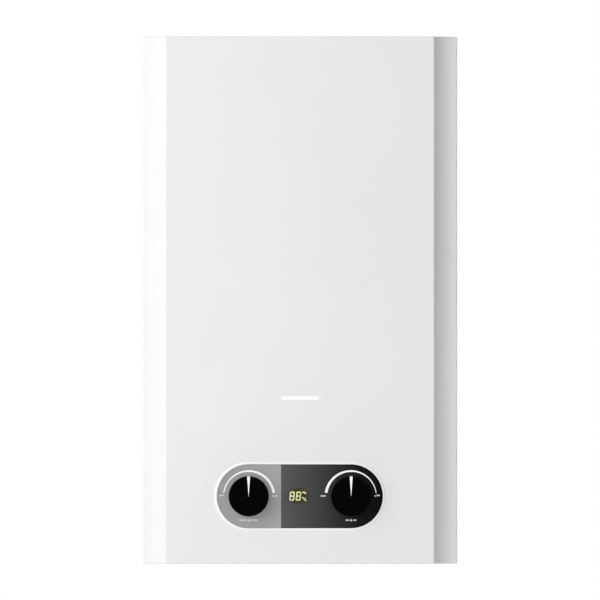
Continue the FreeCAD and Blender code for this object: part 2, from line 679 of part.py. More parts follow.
# ---------------------------------------------------------------- burner
ELECTRODE_X, ELECTRODE_Z, ELECTRODE_R = 34.0, -104.0, 2.5
FRAME_LOW = -160.0
BLADE_TOP = -114.0
FRAME_FRONT, FRAME_REAR, FRAME_HALF_W = -129.0, -21.0, 88.0
VENTURI_R, VENTURI_BORE = 7.5, 6.3
BLADE_HALF_W, BLADE_LOW, BLADE_SHEET = 3.5, -138.0, 0.8
TURN_HALF_W, TURN_LOW, TURN_Y = 5.5, -155.0, (-63.0, -26.0)  # box that turns the gas up into the blade
VENTURI_END_Y = TURN_Y[0] + 1.0
PORT_Y, PORT_PITCH, PORT_HALF_LEN = (-122, -25), 8, 2.2


def blade_x(i):
    return (i - (BLADE_COUNT - 1) / 2) * BLADE_PITCH


def burner_frame():
    """Steel frame round the blades, with a flange that carries the chamber."""
    z = (FRAME_LOW, CHAMBER_LOW)
    half, front, rear = FRAME_HALF_W, FRAME_FRONT, FRAME_REAR
    walls = block((-half, half), (front, rear), z)
    hollow = block((PLATE - half, half - PLATE), (front + PLATE, rear - PLATE), (z[0] - 1, z[1] + 1))
    flange = block((-half - 4, half + 4), (front - 3, rear + 3), (z[1] - PLATE, z[1]))
    rails = [block((-half, half), y, (z[0], z[0] + PLATE)) for y in ((front, front + 10), (rear - 10, rear))]
    frame = join([join([walls, flange]).cut(hollow)] + rails)
    holes = []
    for i in range(BLADE_COUNT):
        holes.append(cylinder("y", (blade_x(i), VENTURI_Z), (front - 1, front + 2), VENTURI_R + 0.1))
    return cut_all(frame, holes)


def burner_blade(x):
    """Thin hollow burner: venturi tube below, turn-up box at the rear and a row of port slots on top."""
    front, rear = FRAME_FRONT + PLATE, FRAME_REAR - PLATE
    mouth = (FRAME_FRONT - 2.5, FRAME_FRONT - 0.3)
    blade = join([
        block((x - BLADE_HALF_W, x + BLADE_HALF_W), (front, rear), (BLADE_LOW, BLADE_TOP)),
        cylinder("y", (x, VENTURI_Z), (mouth[0], VENTURI_END_Y), VENTURI_R),
        cone("y", (x, VENTURI_Z), mouth, VENTURI_R + 1.2, VENTURI_R),
        block((x - TURN_HALF_W, x + TURN_HALF_W), TURN_Y, (TURN_LOW, BLADE_LOW)),
        block((x - 1, x + 1), (front + 4, VENTURI_END_Y), (BLADE_LOW - 4, BLADE_LOW)),
    ])
    wall = BLADE_SHEET
    inside = (x - BLADE_HALF_W + wall, x + BLADE_HALF_W - wall)
    turn_inside = (x - TURN_HALF_W + wall, x + TURN_HALF_W - wall)
    neck = (TURN_Y[0] + 2, TURN_Y[1] - 2)
    cutters = [
        cylinder("y", (x, VENTURI_Z), (mouth[0] - 1, VENTURI_END_Y - 2), VENTURI_BORE),
        block(turn_inside, (TURN_Y[0] - 2, neck[0]), (VENTURI_Z - 4, VENTURI_Z + 4)),
        block(turn_inside, (TURN_Y[0] + wall, TURN_Y[1] - wall), (TURN_LOW + wall, BLADE_LOW - wall)),
        block(inside, neck, (BLADE_LOW - 2 * wall, BLADE_LOW + 2 * wall)),
        block(inside, (front + wall, rear - wall), (BLADE_LOW + wall, BLADE_TOP - wall)),
    ]
    port_x, port_z = (x - PORT_HALF_LEN, x + PORT_HALF_LEN), (BLADE_TOP - 2 * wall, BLADE_TOP + 1)
    for y in range(PORT_Y[0], PORT_Y[1], PORT_PITCH):
        cutters.append(block(port_x, (y - wall, y + wall), port_z))
    for cutter in cutters:
        blade = blade.cut(cutter)
    return blade


RISER_GAS_X = -45.0
MANIFOLD_HALF_LEN = 84.0


def manifold_envelope():
    return cylinder("x", (MANIFOLD_Y, VENTURI_Z), (-MANIFOLD_HALF_LEN, MANIFOLD_HALF_LEN), MANIFOLD_R)


def gas_manifold():
    """Closed gas rail with a tapping for each injector, and the riser brazed into it."""
    axis = (MANIFOLD_Y, VENTURI_Z)
    outlet_z = BODY_HIGH
    riser = route([
        (RISER_GAS_X, VALVE_Y, outlet_z),
        (RISER_GAS_X, VALVE_Y, outlet_z + 11),
        (RISER_GAS_X, MANIFOLD_Y, outlet_z + 11),
        (RISER_GAS_X, MANIFOLD_Y, VENTURI_Z - 3),
    ], 9.0)
    rail = join([manifold_envelope(), sweep(riser, COIL_R)])
    bore_half = MANIFOLD_HALF_LEN - 2
    cutters = [cylinder("x", axis, (-bore_half, bore_half), MANIFOLD_R - 1.5), sweep(riser, COIL_R - 1)]
    for i in range(BLADE_COUNT):
        cutters.append(cylinder("y", (blade_x(i), VENTURI_Z), (MANIFOLD_Y, MANIFOLD_Y + 10), 1.2))
    for cutter in cutters:
        rail = rail.cut(cutter)
    return rail


def gas_injectors():
    """Brass injectors on the rail, each with its orifice."""
    rear = MANIFOLD_Y + MANIFOLD_R
    jets = []
    for i in range(BLADE_COUNT):
        centre = (blade_x(i), VENTURI_Z)
        shank = cylinder("y", centre, (rear - 2, rear + 1.5), 3.2)
        jet = join([shank, cone("y", centre, (rear + 1.5, rear + 4), 2.6, 1.5)])
        jet = jet.cut(cylinder("y", centre, (rear - 3, rear + 3), 1.2))
        jet = jet.cut(cylinder("y", centre, (rear + 2.5, rear + 5), 0.5))
        jets.append(jet.cut(manifold_envelope()))
    return group(jets)


def electrodes():
    """Spark and flame-sensing electrodes: a ceramic insulator each, with a wire tip behind it."""
    pair = []
    for side in (-1, 1):
        centre = (side * ELECTRODE_X, ELECTRODE_Z)
        pair.append(join([
            cylinder("y", centre, (CHAMBER_FRONT - 8, CHAMBER_FRONT + 12), ELECTRODE_R),
            cylinder("y", centre, (CHAMBER_FRONT - 2, CHAMBER_FRONT), 4.5),
            cylinder("y", centre, (CHAMBER_FRONT + 12, CHAMBER_FRONT + 30), 0.9),
        ]))
    return group(pair)


# ---------------------------------------------------------------- gas and water valves
BODY_LOW, BODY_HIGH = PANEL_Z - 23, PANEL_Z + 23
BODY_Y = (-102.0, -54.0)
GAS_X_SPAN = (-100.0, -22.0)
WATER_X_SPAN = (20.0, 92.0)
OUTLET_X = 36.0
AXIS = (VALVE_Y, PANEL_Z)
CHAMBER_A, SOLENOID_SEAT, CHAMBER_B = (-98.0, -80.0), (-80.0, -77.0), (-77.0, -60.0)
MAIN_SEAT, CHAMBER_C = (-60.0, -57.0), (-57.0, -34.0)
CAVITY_R = 11.0
ROD_R = 2.5
DIAPHRAGM_X = (10.0, 12.0)
PLATE_R, MEMBRANE_HOLE_R, HOUSING_R, CHEST_R = 20.0, 20.3, 34.0, 24.0
BOLT_CIRCLE_R = 30.5
GLAND_Y = (-108.0, -102.0)


def bolt_circle():
    """Places of the six diaphragm-housing screws, in Y and Z."""
    turns = [math.radians(60 * i + 30) for i in range(6)]
    return [(VALVE_Y + BOLT_CIRCLE_R * math.cos(t), PANEL_Z + BOLT_CIRCLE_R * math.sin(t)) for t in turns]


def flange_screw_holes(x, radius):
    depth = (BODY_LOW - 1, BODY_LOW + 8)
    return [cylinder("z", (x, VALVE_Y + side * FLANGE_SCREW), depth, radius) for side in (-1, 1)]


def gas_valve_body():
    """Aluminium casting: three chambers in line, two seats, inlet below, outlet above, spindle bore."""
    body = soft_block(GAS_X_SPAN, BODY_Y, (BODY_LOW, BODY_HIGH), 5, "x")
    cutters = [cylinder("x", AXIS, span, CAVITY_R) for span in (CHAMBER_A, CHAMBER_B, CHAMBER_C)]
    cutters += [
        cylinder("x", AXIS, SOLENOID_SEAT, 6.0),
        cylinder("x", AXIS, MAIN_SEAT, 7.0),
        cylinder("x", AXIS, (CHAMBER_C[1], GAS_X_SPAN[1] + 1), ROD_R + RUN),
        cylinder("x", AXIS, (GAS_X_SPAN[0] - 1, CHAMBER_A[0]), 5.0),
        cylinder("z", (GAS_X, VALVE_Y), (BODY_LOW - 1, PANEL_Z), STUB_BORE),
        cylinder("z", (RISER_GAS_X, VALVE_Y), (PANEL_Z, BODY_HIGH + 1), COIL_R - 1),
        cylinder("y", (-KNOB_X, PANEL_Z), (BODY_Y[0] - 1, VALVE_Y - 9), PLUG_R + RUN),
    ]
    cutters += flange_screw_holes(GAS_X, 2.1)
    for cutter in cutters:
        body = body.cut(cutter)
    return body


def water_valve_body():
    """Brass casting: diaphragm chamber, cross bore, needle bore, inlet below, outlet above and a drain."""
    body = join([
        soft_block(WATER_X_SPAN, BODY_Y, (BODY_LOW, BODY_HIGH), 5, "x"),
        cylinder("x", AXIS, (DIAPHRAGM_X[1], WATER_X_SPAN[0]), HOUSING_R),
    ])
    cutters = [
        cylinder("x", AXIS, (DIAPHRAGM_X[1], WATER_X_SPAN[0] - 1), CHEST_R),
        cylinder("x", AXIS, (WATER_X_SPAN[0] - 1, COLD_X), 5.0),
        cylinder("z", (COLD_X, VALVE_Y), (BODY_LOW - 1, PANEL_Z), STUB_BORE),
        cylinder("z", (OUTLET_X, VALVE_Y), (PANEL_Z, BODY_HIGH + 1), COIL_R - 0.8),
        cylinder("z", (DRAIN_X, VALVE_Y), (BODY_LOW - 1, PANEL_Z), DRAIN_STEM_R + RUN),
        cylinder("y", (KNOB_X, PANEL_Z), (BODY_Y[0] - 1, VALVE_Y + 6), NEEDLE_R + RUN),
    ]
    cutters += flange_screw_holes(COLD_X, 2.1)
    cutters += [cylinder("x", at, (DIAPHRAGM_X[1] - 1, WATER_X_SPAN[0]), 2.0) for at in bolt_circle()]
    for cutter in cutters:
        body = body.cut(cutter)
    return body


def diaphragm_cover():
    """Brass cover of the diaphragm chamber, with the rod's gland."""
    cover = join([
        cylinder("x", AXIS, (6, DIAPHRAGM_X[0]), HOUSING_R),
        cylinder("x", AXIS, (-2, 6), 27.0),
        cylinder("x", AXIS, (-5, -2), 6.0),
    ])
    cutters = [cylinder("x", AXIS, (1, DIAPHRAGM_X[0]), CHEST_R), cylinder("x", AXIS, (-6, 2), ROD_R + RUN)]
    cutters += [cylinder("x", at, (5, 11), 2.0) for at in bolt_circle()]
    return cut_all(cover, cutters)


def diaphragm():
    """Rubber membrane clamped between the cover and the body."""
    ring = sleeve("x", AXIS, DIAPHRAGM_X, HOUSING_R, MEMBRANE_HOLE_R)
    return cut_all(ring, [cylinder("x", at, (9, 13), 2.0) for at in bolt_circle()])


def housing_screws():
    return [pan_screw("x", at, 6.0, 18.5, 3.0, 2.6, 1.9) for at in bolt_circle()]


PLATE_X = (9.5, 12.5)
COLLAR_X = (-12.0, -9.0)
DISC_X = (MAIN_SEAT[0] - SHUT - 3.0, MAIN_SEAT[0] - SHUT)


def valve_rod():
    """Steel rod from the diaphragm's plate to the gas disc, with the collar that trips the switch."""
    return join([
        cylinder("x", AXIS, PLATE_X, PLATE_R),
        cylinder("x", AXIS, (DISC_X[1], PLATE_X[0]), ROD_R),
        cylinder("x", AXIS, COLLAR_X, 6.0),
    ])


def gas_spring():
    """Coil spring that closes the gas disc."""
    wire = 0.6
    start, end = CHAMBER_B[0] + wire + 0.1, DISC_X[0] - wire - 0.1
    helix = Part.makeHelix((end - start) / 5, end - start, 7.5)
    helix.rotate(V(0, 0, 0), V(0, 1, 0), 90)
    helix.translate(V(start, VALVE_Y, PANEL_Z))
    path = Part.Wire(helix.Edges)
    first = path.Edges[0]
    at, heading = first.valueAt(first.FirstParameter), first.tangentAt(first.FirstParameter)
    return path.makePipeShell([Part.Wire(Part.makeCircle(wire, at, heading))], True, True)


LEVER_PIVOT = (-12.8, -173.0)  # X and Z
LEVER_PIN_R, LEVER_TIP_Z = 0.8, -200.0
BUTTON_Z = -186.0
BUTTON_R, BUTTON_LEN = 1.2, 4.5
SWITCH_X = (GAS_X_SPAN[1], -16.8)
SWITCH_Z = (-192.0, -171.0)


def microswitch():
    """Switch body on the gas valve's end, with two ears for the lever's pin and a slot for its button."""
    y = (VALVE_Y - 5.5, VALVE_Y + 5.5)
    pieces = [block(SWITCH_X, y, SWITCH_Z)]
    for side in (-1, 1):
        ear_y = sorted((VALVE_Y + side * 4.1, VALVE_Y + side * 5.5))
        pieces.append(block((SWITCH_X[1], LEVER_PIVOT[0] + 1.8), ear_y, (LEVER_PIVOT[1] - 1.8, SWITCH_Z[1])))
    cutters = [
        cylinder("y", LEVER_PIVOT, (VALVE_Y - 6, VALVE_Y + 6), LEVER_PIN_R),
        cylinder("x", (VALVE_Y, BUTTON_Z), (SWITCH_X[0] + 1, SWITCH_X[1] + 1), BUTTON_R + RUN),
    ]
    return cut_all(join(pieces), cutters)


def switch_lever():
    """Steel lever that hangs from its pin to the rod's collar."""
    x, z = LEVER_PIVOT
    hub = cylinder("y", LEVER_PIVOT, (VALVE_Y - 3.8, VALVE_Y + 3.8), 1.6)
    blade = block((x - 0.4, x + 0.4), (VALVE_Y - 3, VALVE_Y + 3), (LEVER_TIP_Z, z))
    return join([hub, blade]).cut(cylinder("y", LEVER_PIVOT, (VALVE_Y - 6, VALVE_Y + 6), LEVER_PIN_R + RUN))


def switch_pin():
    return cylinder("y", LEVER_PIVOT, (VALVE_Y - 5.5, VALVE_Y + 5.5), LEVER_PIN_R)


def switch_button():
    tip = LEVER_PIVOT[0] - 1.0
    return cylinder("x", (VALVE_Y, BUTTON_Z), (tip - BUTTON_LEN, tip), BUTTON_R)


def solenoid_coil():
    """Can and flange of the flame-failure solenoid, bored for its plunger."""
    left = GAS_X_SPAN[0]
    pieces = [
        cylinder("x", AXIS, (left - 4, left), 16.0),
        cylinder("x", AXIS, (left - 28, left - 4), 12.5),
        block((left - 34, left - 28), (VALVE_Y - 5, VALVE_Y + 5), (PANEL_Z - 2, PANEL_Z + 2)),
    ]
    return join(pieces).cut(cylinder("x", AXIS, (left - 25, left + 1), ROD_R + RUN))


def solenoid_plunger():
    """Plunger with the disc that shuts the gas inlet; it pulls back into the coil."""
    seat = SOLENOID_SEAT[0] - SHUT
    disc = cylinder("x", AXIS, (seat - 3, seat), 8.5)
    return join([disc, cylinder("x", AXIS, (seat - 40, seat - 3), ROD_R)])


def spindle(x, span):
    """Brass bar with the knob's flat at its front end."""
    flat_end = KNOB_BACK_Y + 0.5
    flat = flatted_bar(x, SPINDLE_R, SPINDLE_FLAT, (span[0], flat_end))
    return flat.fuse(cylinder("y", (x, PANEL_Z), (flat_end, span[1]), SPINDLE_R))


def gas_spindle():
    """Spindle with the throttle that turns in the gas outlet."""
    x = -KNOB_X
    plug_end = VALVE_Y - 10.5
    vane = cylinder("y", (x, PANEL_Z), (plug_end, plug_end + 4.5), 3.2)
    vane = vane.cut(block((x - 7, x + 0.5), (plug_end, plug_end + 6), (PANEL_Z - 7, PANEL_Z + 7)))
    plug = cylinder("y", (x, PANEL_Z), (BODY_Y[0] + 0.5, plug_end), PLUG_R)
    return join([spindle(x, (SPINDLE_FRONT, BODY_Y[0] + 0.5)), plug, vane])


NEEDLE_R = 7.0
NEEDLE_Y = (-92.0, -80.0)
SCREW_R, SCREW_END_Y = 2.4, -84.0


def water_spindle():
    """Spindle with the screw that drives the water needle."""
    at = (KNOB_X, PANEL_Z)
    return join([
        spindle(KNOB_X, (SPINDLE_FRONT, BODY_Y[0] + 0.5)),
        cylinder("y", at, (BODY_Y[0] + 0.5, NEEDLE_Y[0] - 3), PLUG_R),
        cylinder("y", at, (NEEDLE_Y[0] - 3, SCREW_END_Y), SCREW_R),
    ])


def water_needle():
    """Needle that slides in the water body as the spindle turns."""
    at = (KNOB_X, PANEL_Z)
    body = join([
        cylinder("y", at, (NEEDLE_Y[0], NEEDLE_Y[1] - 3), NEEDLE_R),
        cone("y", at, (NEEDLE_Y[1] - 3, NEEDLE_Y[1]), NEEDLE_R, 4.0),
    ])
    return body.cut(cylinder("y", at, (NEEDLE_Y[0] - 1, SCREW_END_Y + 2), SCREW_R + SHUT))


def gland_nuts():
    """Brass nuts that close the two spindle bores."""
    nuts = []
    for side in (-1, 1):
        at = (side * KNOB_X, PANEL_Z)
        hole = cylinder("y", at, (GLAND_Y[0] - 1, GLAND_Y[1] + 1), SPINDLE_R + RUN)
        nuts.append(hexagon("y", at, GLAND_Y, 17).cut(hole))
    return nuts


def valve_brackets():
    """Folded channel behind each valve body."""
    channels = []
    for x in ((-92, -30), (28, 84)):
        outer = block(x, (BODY_Y[1], -PLATE), (PANEL_Z - 8, PANEL_Z + 10))
        inner_y = (BODY_Y[1] + PLATE, -2 * PLATE)
        channels.append(outer.cut(block((x[0] - 1, x[1] + 1), inner_y, (PANEL_Z - 8 + PLATE, PANEL_Z + 11))))
    return channels


# ---------------------------------------------------------------- pipe connections
FLANGE_Z = (BODY_LOW - 4.0, BODY_LOW - 1.0)
HEX_LOW_Z = -245.0


def threaded_stub(at, z_top):
    """G1/2 connection with a chamfered end, from z_top down."""
    stub = cylinder("z", at, (STUB_END_Z + 1, z_top), THREAD_R)
    return stub.fuse(cone("z", at, (STUB_END_Z, STUB_END_Z + 1), THREAD_R - 1, THREAD_R))


def flanged_fitting(x):
    """Connection that bolts under a valve body: flange, hexagon and thread."""
    at = (x, VALVE_Y)
    plate = soft_block((x - 12, x + 12), (VALVE_Y - 21, VALVE_Y + 21), FLANGE_Z, 6, "z")
    fitting = join([plate, hexagon("z", at, (HEX_LOW_Z, FLANGE_Z[0]), 24), threaded_stub(at, HEX_LOW_Z)])
    fitting = fitting.cut(cylinder("z", at, (STUB_END_Z - 1, FLANGE_Z[1] + 1), STUB_BORE))
    span = (FLANGE_Z[0] - 1, FLANGE_Z[1] + 1)
    return cut_all(fitting, [cylinder("z", (x, VALVE_Y + s * FLANGE_SCREW), span, 2.1) for s in (-1, 1)])


def fitting_gaskets():
    return [sleeve("z", (x, VALVE_Y), (FLANGE_Z[1], BODY_LOW), 11.0, STUB_BORE) for x in (GAS_X, COLD_X)]


def fitting_screws():
    places = [(x, VALVE_Y + s * FLANGE_SCREW) for x in (GAS_X, COLD_X) for s in (-1, 1)]
    return [pan_screw("z", at, FLANGE_Z[0], BODY_LOW + 7, 3.5, 2.8, 2.0) for at in places]


LOCKNUT_Z = (PANEL_TOP_Z - PLATE - 6.0, PANEL_TOP_Z - PLATE)


def hot_outlet_fitting():
    """Hot outlet: hexagon on the bottom panel, thread through it and the socket for the hot pipe."""
    at = (HOT_X, HOT_Y)
    fitting = join([
        cylinder("z", at, (HOT_SOCKET_Z - 12, HOT_SOCKET_Z), 9.0),
        hexagon("z", at, (PANEL_TOP_Z, HOT_SOCKET_Z - 12), 24),
        cylinder("z", at, (LOCKNUT_Z[0], PANEL_TOP_Z), THREAD_R - 0.2),
        threaded_stub(at, LOCKNUT_Z[0]),
    ])
    return fitting.cut(cylinder("z", at, (STUB_END_Z - 1, HOT_SOCKET_Z + 1), COIL_R - 0.8))


def outlet_locknut():
    at = (HOT_X, HOT_Y)
    hole = cylinder("z", at, (LOCKNUT_Z[0] - 1, LOCKNUT_Z[1] + 1), THREAD_R)
    return hexagon("z", at, LOCKNUT_Z, 27).cut(hole)


def inlet_filter():
    """Strainer basket pushed up into the cold inlet."""
    at = (COLD_X, VALVE_Y)
    inner, outer, lip = 5.5, 6.3, 6.9
    top, rim_top = -240.0, STUB_END_Z + 3
    return join([
        sleeve("z", at, (rim_top, top), outer, inner),
        cylinder("z", at, (top - 1, top), outer),
        sleeve("z", at, (rim_top - 1, rim_top), lip, inner),
    ])


DRAIN_KNOB_Z = (-263.0, -247.5)
DRAIN_STEM_R = 3.0


def drain_valve_body():
    """Drain and relief boss under the water body."""
    at = (DRAIN_X, VALVE_Y)
    boss = join([cylinder("z", at, (-246.5, BODY_LOW), 6.5), hexagon("z", at, (-240, -232), 17)])
    return boss.cut(cylinder("z", at, (-248, BODY_LOW + 1), DRAIN_STEM_R + RUN))


def drain_knob():
    """Ribbed thumb knob with the stem that shuts the drain."""
    at = (DRAIN_X, VALVE_Y)
    skirt = cylinder("z", at, DRAIN_KNOB_Z, 8.4)
    low_edge = [e for e in skirt.Edges if abs(e.BoundBox.ZMax - DRAIN_KNOB_Z[0]) < 0.01]
    skirt = skirt.makeFillet(1.2, low_edge)
    grooves = []
    for i in range(12):
        turn = math.radians(30 * i)
        place = (DRAIN_X + 8.9 * math.cos(turn), VALVE_Y + 8.9 * math.sin(turn))
        grooves.append(cylinder("z", place, (DRAIN_KNOB_Z[0] - 1, DRAIN_KNOB_Z[1] + 1), 1.3))
    stem = cylinder("z", at, (DRAIN_KNOB_Z[1], BODY_LOW + 8), DRAIN_STEM_R)
    wing_z = (DRAIN_KNOB_Z[0] - 4, DRAIN_KNOB_Z[0] + 1)
    wing = block((DRAIN_X - 7, DRAIN_X + 7), (VALVE_Y - 1.5, VALVE_Y + 1.5), wing_z)
    return join([cut_all(skirt, grooves), stem, wing])


# ---------------------------------------------------------------- battery box and electrics
BAY_TOP = -174.0
DOOR_PLUG_H = 2.0  # step on the door that enters the bay
CELL_LIFT, STUD_H = 3.0, 1.5
HINGE_Y, HINGE_Z, HINGE_R = -46.6, PANEL_TOP_Z - PLATE / 2, 2.0
HINGE_PIN_R = 1.0
DOOR_KNUCKLES = [(BATTERY_X - 16, BATTERY_X - 6.4), (BATTERY_X + 6.4, BATTERY_X + 16)]
BOX_KNUCKLE = (BATTERY_X - 6, BATTERY_X + 6)


def battery_box():
    """Plastic bay for two upright cells, open below, with a mounting flange and a hinge knuckle."""
    wall = BAY_WALL
    z = (PANEL_TOP_Z, BAY_TOP + wall)
    x = (BAY_X[0] - wall, BAY_X[1] + wall)
    y = (BAY_Y[0] - wall, BAY_Y[1] + wall)
    bay = soft_block(x, y, z, 4, "z")
    flange = soft_block((x[0] - 4, x[1] + 4), (y[0] - 4, y[1]), (z[0], z[0] + 1.6), 3, "z")
    knuckle = cylinder("x", (HINGE_Y, HINGE_Z), BOX_KNUCKLE, HINGE_R)
    arm = block(BOX_KNUCKLE, (y[1] - 0.5, HINGE_Y + HINGE_R), (HINGE_Z, z[0] + 4))
    body = join([bay, flange, knuckle, arm])
    cutters = [block(BAY_X, BAY_Y, (z[0] - 1, BAY_TOP))]
    cutters.append(cylinder("x", (HINGE_Y, HINGE_Z), (x[0], x[1]), HINGE_PIN_R))
    return cut_all(body, cutters)


def battery_cells():
    """Two dry cells, each with its positive stud."""
    cells = []
    for y in CELL_ROWS:
        low = PANEL_TOP_Z + CELL_LIFT
        can = cylinder("z", (BATTERY_X, y), (low, low + CELL_LEN), CELL_R)
        ends = [e for e in can.Edges if abs(e.BoundBox.ZLength) < 0.01]
        can = can.makeFillet(1.2, ends)
        stud = cylinder("z", (BATTERY_X, y), (low + CELL_LEN, low + CELL_LEN + STUD_H), 4.0)
        cells.append(join([can, stud]))
    return group(cells)


def battery_contacts():
    """Strip in the roof of the bay that the cells press on, one leaf per cell."""
    top = BAY_TOP
    stud_top = PANEL_TOP_Z + CELL_LIFT + CELL_LEN + STUD_H
    leaves = []
    for y in CELL_ROWS:
        roof = block((BATTERY_X - 8, BATTERY_X + 8), (y - 6, y + 6), (top - 0.5, top))
        leg = block((BATTERY_X - 8, BATTERY_X - 7.5), (y - 6, y + 6), (stud_top, top))
        leaf = block((BATTERY_X - 8, BATTERY_X + 5), (y - 4, y + 4), (stud_top, stud_top + 0.5))
        leaves.append(join([roof, leg, leaf]))
    return group(leaves)


def battery_door():
    """Hinged door, flush with the bottom panel, with a finger lip and knuckles."""
    x = (BAY_X[0] - BAY_WALL, BAY_X[1] + BAY_WALL)
    y = (BAY_Y[0] - BAY_WALL, BAY_Y[1] + BAY_WALL - 0.6)
    z = (PANEL_TOP_Z - PLATE, PANEL_TOP_Z - 0.3)
    plug_x, plug_y = (BAY_X[0] + 0.6, BAY_X[1] - 0.6), (BAY_Y[0] + 0.6, BAY_Y[1] - 2.0)
    lip_half_w, lip_h = 9.0, 3.0
    pieces = [
        soft_block(x, y, z, 2, "z"),
        block(plug_x, plug_y, (z[1] - 0.5, PANEL_TOP_Z + DOOR_PLUG_H)),
        block((BATTERY_X - lip_half_w, BATTERY_X + lip_half_w), (y[0], y[0] + 2.4), (z[0] - lip_h, z[0] + 0.5)),
    ]
    for span in DOOR_KNUCKLES:
        pieces.append(cylinder("x", (HINGE_Y, HINGE_Z), span, HINGE_R))
        pieces.append(block(span, (y[1] - 0.5, HINGE_Y), z))
    door = join(pieces)
    return door.cut(cylinder("x", (HINGE_Y, HINGE_Z), (x[0] - 1, x[1] + 1), HINGE_PIN_R + RUN))


def door_contact():
    """Plated strip on the door that joins the two cells."""
    z = PANEL_TOP_Z + DOOR_PLUG_H
    y = (CELL_ROWS[0] - 9, CELL_ROWS[1] + 9)
    return soft_block((BATTERY_X - 7, BATTERY_X + 7), y, (z, z + 0.6), 3, "z")


def door_pin():
    return cylinder("x", (HINGE_Y, HINGE_Z), (DOOR_KNUCKLES[0][0], DOOR_KNUCKLES[1][1]), HINGE_PIN_R)


IGNITER_X, IGNITER_Y, IGNITER_Z = (112.0, 156.0), (-33.0, -PLATE), (-160.0, -88.0)
HT_LEAD_R, LEAD_R = 1.6, 1.2


def igniter_case():
    """Plastic case of the spark and flame controller, with two high-tension towers on top."""
    case = soft_block(IGNITER_X, (IGNITER_Y[0] + 2, IGNITER_Y[1]), IGNITER_Z, 4, "y")
    towers = [cylinder("z", (x, -18), (IGNITER_Z[1], IGNITER_Z[1] + 8), 4.0) for x in (124.0, 142.0)]
    socket = block((124, 146), (-26, -14), (IGNITER_Z[0] - 5, IGNITER_Z[0]))
    return join([case] + towers + [socket])


def igniter_lid():
    lid = soft_block(IGNITER_X, (IGNITER_Y[0], IGNITER_Y[0] + 2), IGNITER_Z, 4, "y")
    ribs = [block((120, 148), (IGNITER_Y[0] - 0.8, IGNITER_Y[0]), (z, z + 2)) for z in (-150, -142, -134)]
    return join([lid] + ribs)


def ignition_lead():
    """High-tension lead from the controller to the spark electrode."""
    top = IGNITER_Z[1] + 8
    points = [(124, -18, top), (124, -18, top + 14), (120, -80, top + 10), (118, -146, top - 4)]
    points += [(72, -151, -96), (ELECTRODE_X, -151, ELECTRODE_Z)]
    points += [(ELECTRODE_X, CHAMBER_FRONT - 8, ELECTRODE_Z)]
    return wire_lead(points, 5.0, HT_LEAD_R)


def flame_sense_lead():
    """Lead from the flame-sensing electrode across the front and back to the controller."""
    top = IGNITER_Z[1] + 8
    points = [(142, -18, top), (142, -18, top + 22), (138, -80, top + 20), (130, -140, top + 10)]
    points += [(64, -151, -77), (0, -151, -80), (-ELECTRODE_X, -151, ELECTRODE_Z)]
    points += [(-ELECTRODE_X, CHAMBER_FRONT - 8, ELECTRODE_Z)]
    return wire_lead(points, 5.0, HT_LEAD_R)


def wire_harness():
    """Low-voltage leads to the controller: from the display, the battery bay, the switch and the solenoid."""
    plug_y, plug_z = -20.0, IGNITER_Z[0] - 5
    bay_rear = BAY_Y[1] + BAY_WALL
    coil_end = GAS_X_SPAN[0] - 34
    display = [(22, BOARD_Y[1] + 6, PANEL_Z + 6.5), (22, -134, PANEL_Z + 6.5), (30, -130, -176)]
    display += [(66, -122, -167), (104, -106, -166), (118, -64, -166), (124, -36, -174)]
    display += [(127, plug_y, -178), (127, plug_y, plug_z)]
    battery = [(132, bay_rear, -183), (132, plug_y, -183), (132, plug_y, plug_z)]
    switch = [(-19, VALVE_Y, SWITCH_Z[1]), (-19, VALVE_Y, -165), (-8, -44, -168), (60, -38, -176)]
    switch += [(128, -30, -188), (137, plug_y, -188), (137, plug_y, plug_z)]
    solenoid = [(coil_end, VALVE_Y, PANEL_Z), (-146, VALVE_Y, PANEL_Z), (-146, -60, -192), (-138, -26, -187)]
    solenoid += [(-60, -24, -188), (110, -24, -192), (142, plug_y, -192), (142, plug_y, plug_z)]
    return group([wire_lead(points, 4.0, LEAD_R) for points in (display, battery, switch, solenoid)])


# ---------------------------------------------------------------- assembly
keep("front_cover", front_cover())
keep("back_plate", back_plate())
keep("bottom_panel", bottom_panel())
keep("cover_screws", cover_screws())
keep("exhaust_grille", exhaust_grille())
keep("draft_hood", draft_hood())

keep("panel_bezel", panel_bezel())
keep("fascia_silver", fascia(-1))
keep("fascia_dark", fascia(1))
keep("display_module", display_module())
keep("display_board", display_board())
keep("gas_knob", knob(-KNOB_X))
keep("gas_knob_pointer", knob_pointer(-KNOB_X))
keep("water_knob", knob(KNOB_X))
keep("water_knob_pointer", knob_pointer(KNOB_X))
keep("sight_window", sight_window())

keep("combustion_chamber", combustion_chamber())
keep("fin_pack", fin_pack())
keep("finned_tube", finned_tube())
keep("cold_pipe_coil", pipe(coil_route(), 9.0, COIL_R, COIL_R - 0.8))
keep("hot_pipe", hot_pipe())
keep("mounting_brackets", group(chamber_brackets() + valve_brackets()))
keep("temperature_sensors", group([overheat_thermostat(), outlet_sensor()]))

keep("burner_frame", burner_frame())
keep("burner_blades", group([burner_blade(blade_x(i)) for i in range(BLADE_COUNT)]))
keep("gas_manifold", gas_manifold())
keep("gas_injectors", gas_injectors())
keep("electrodes", electrodes())
keep("electrode_leads", group([ignition_lead(), flame_sense_lead()]))

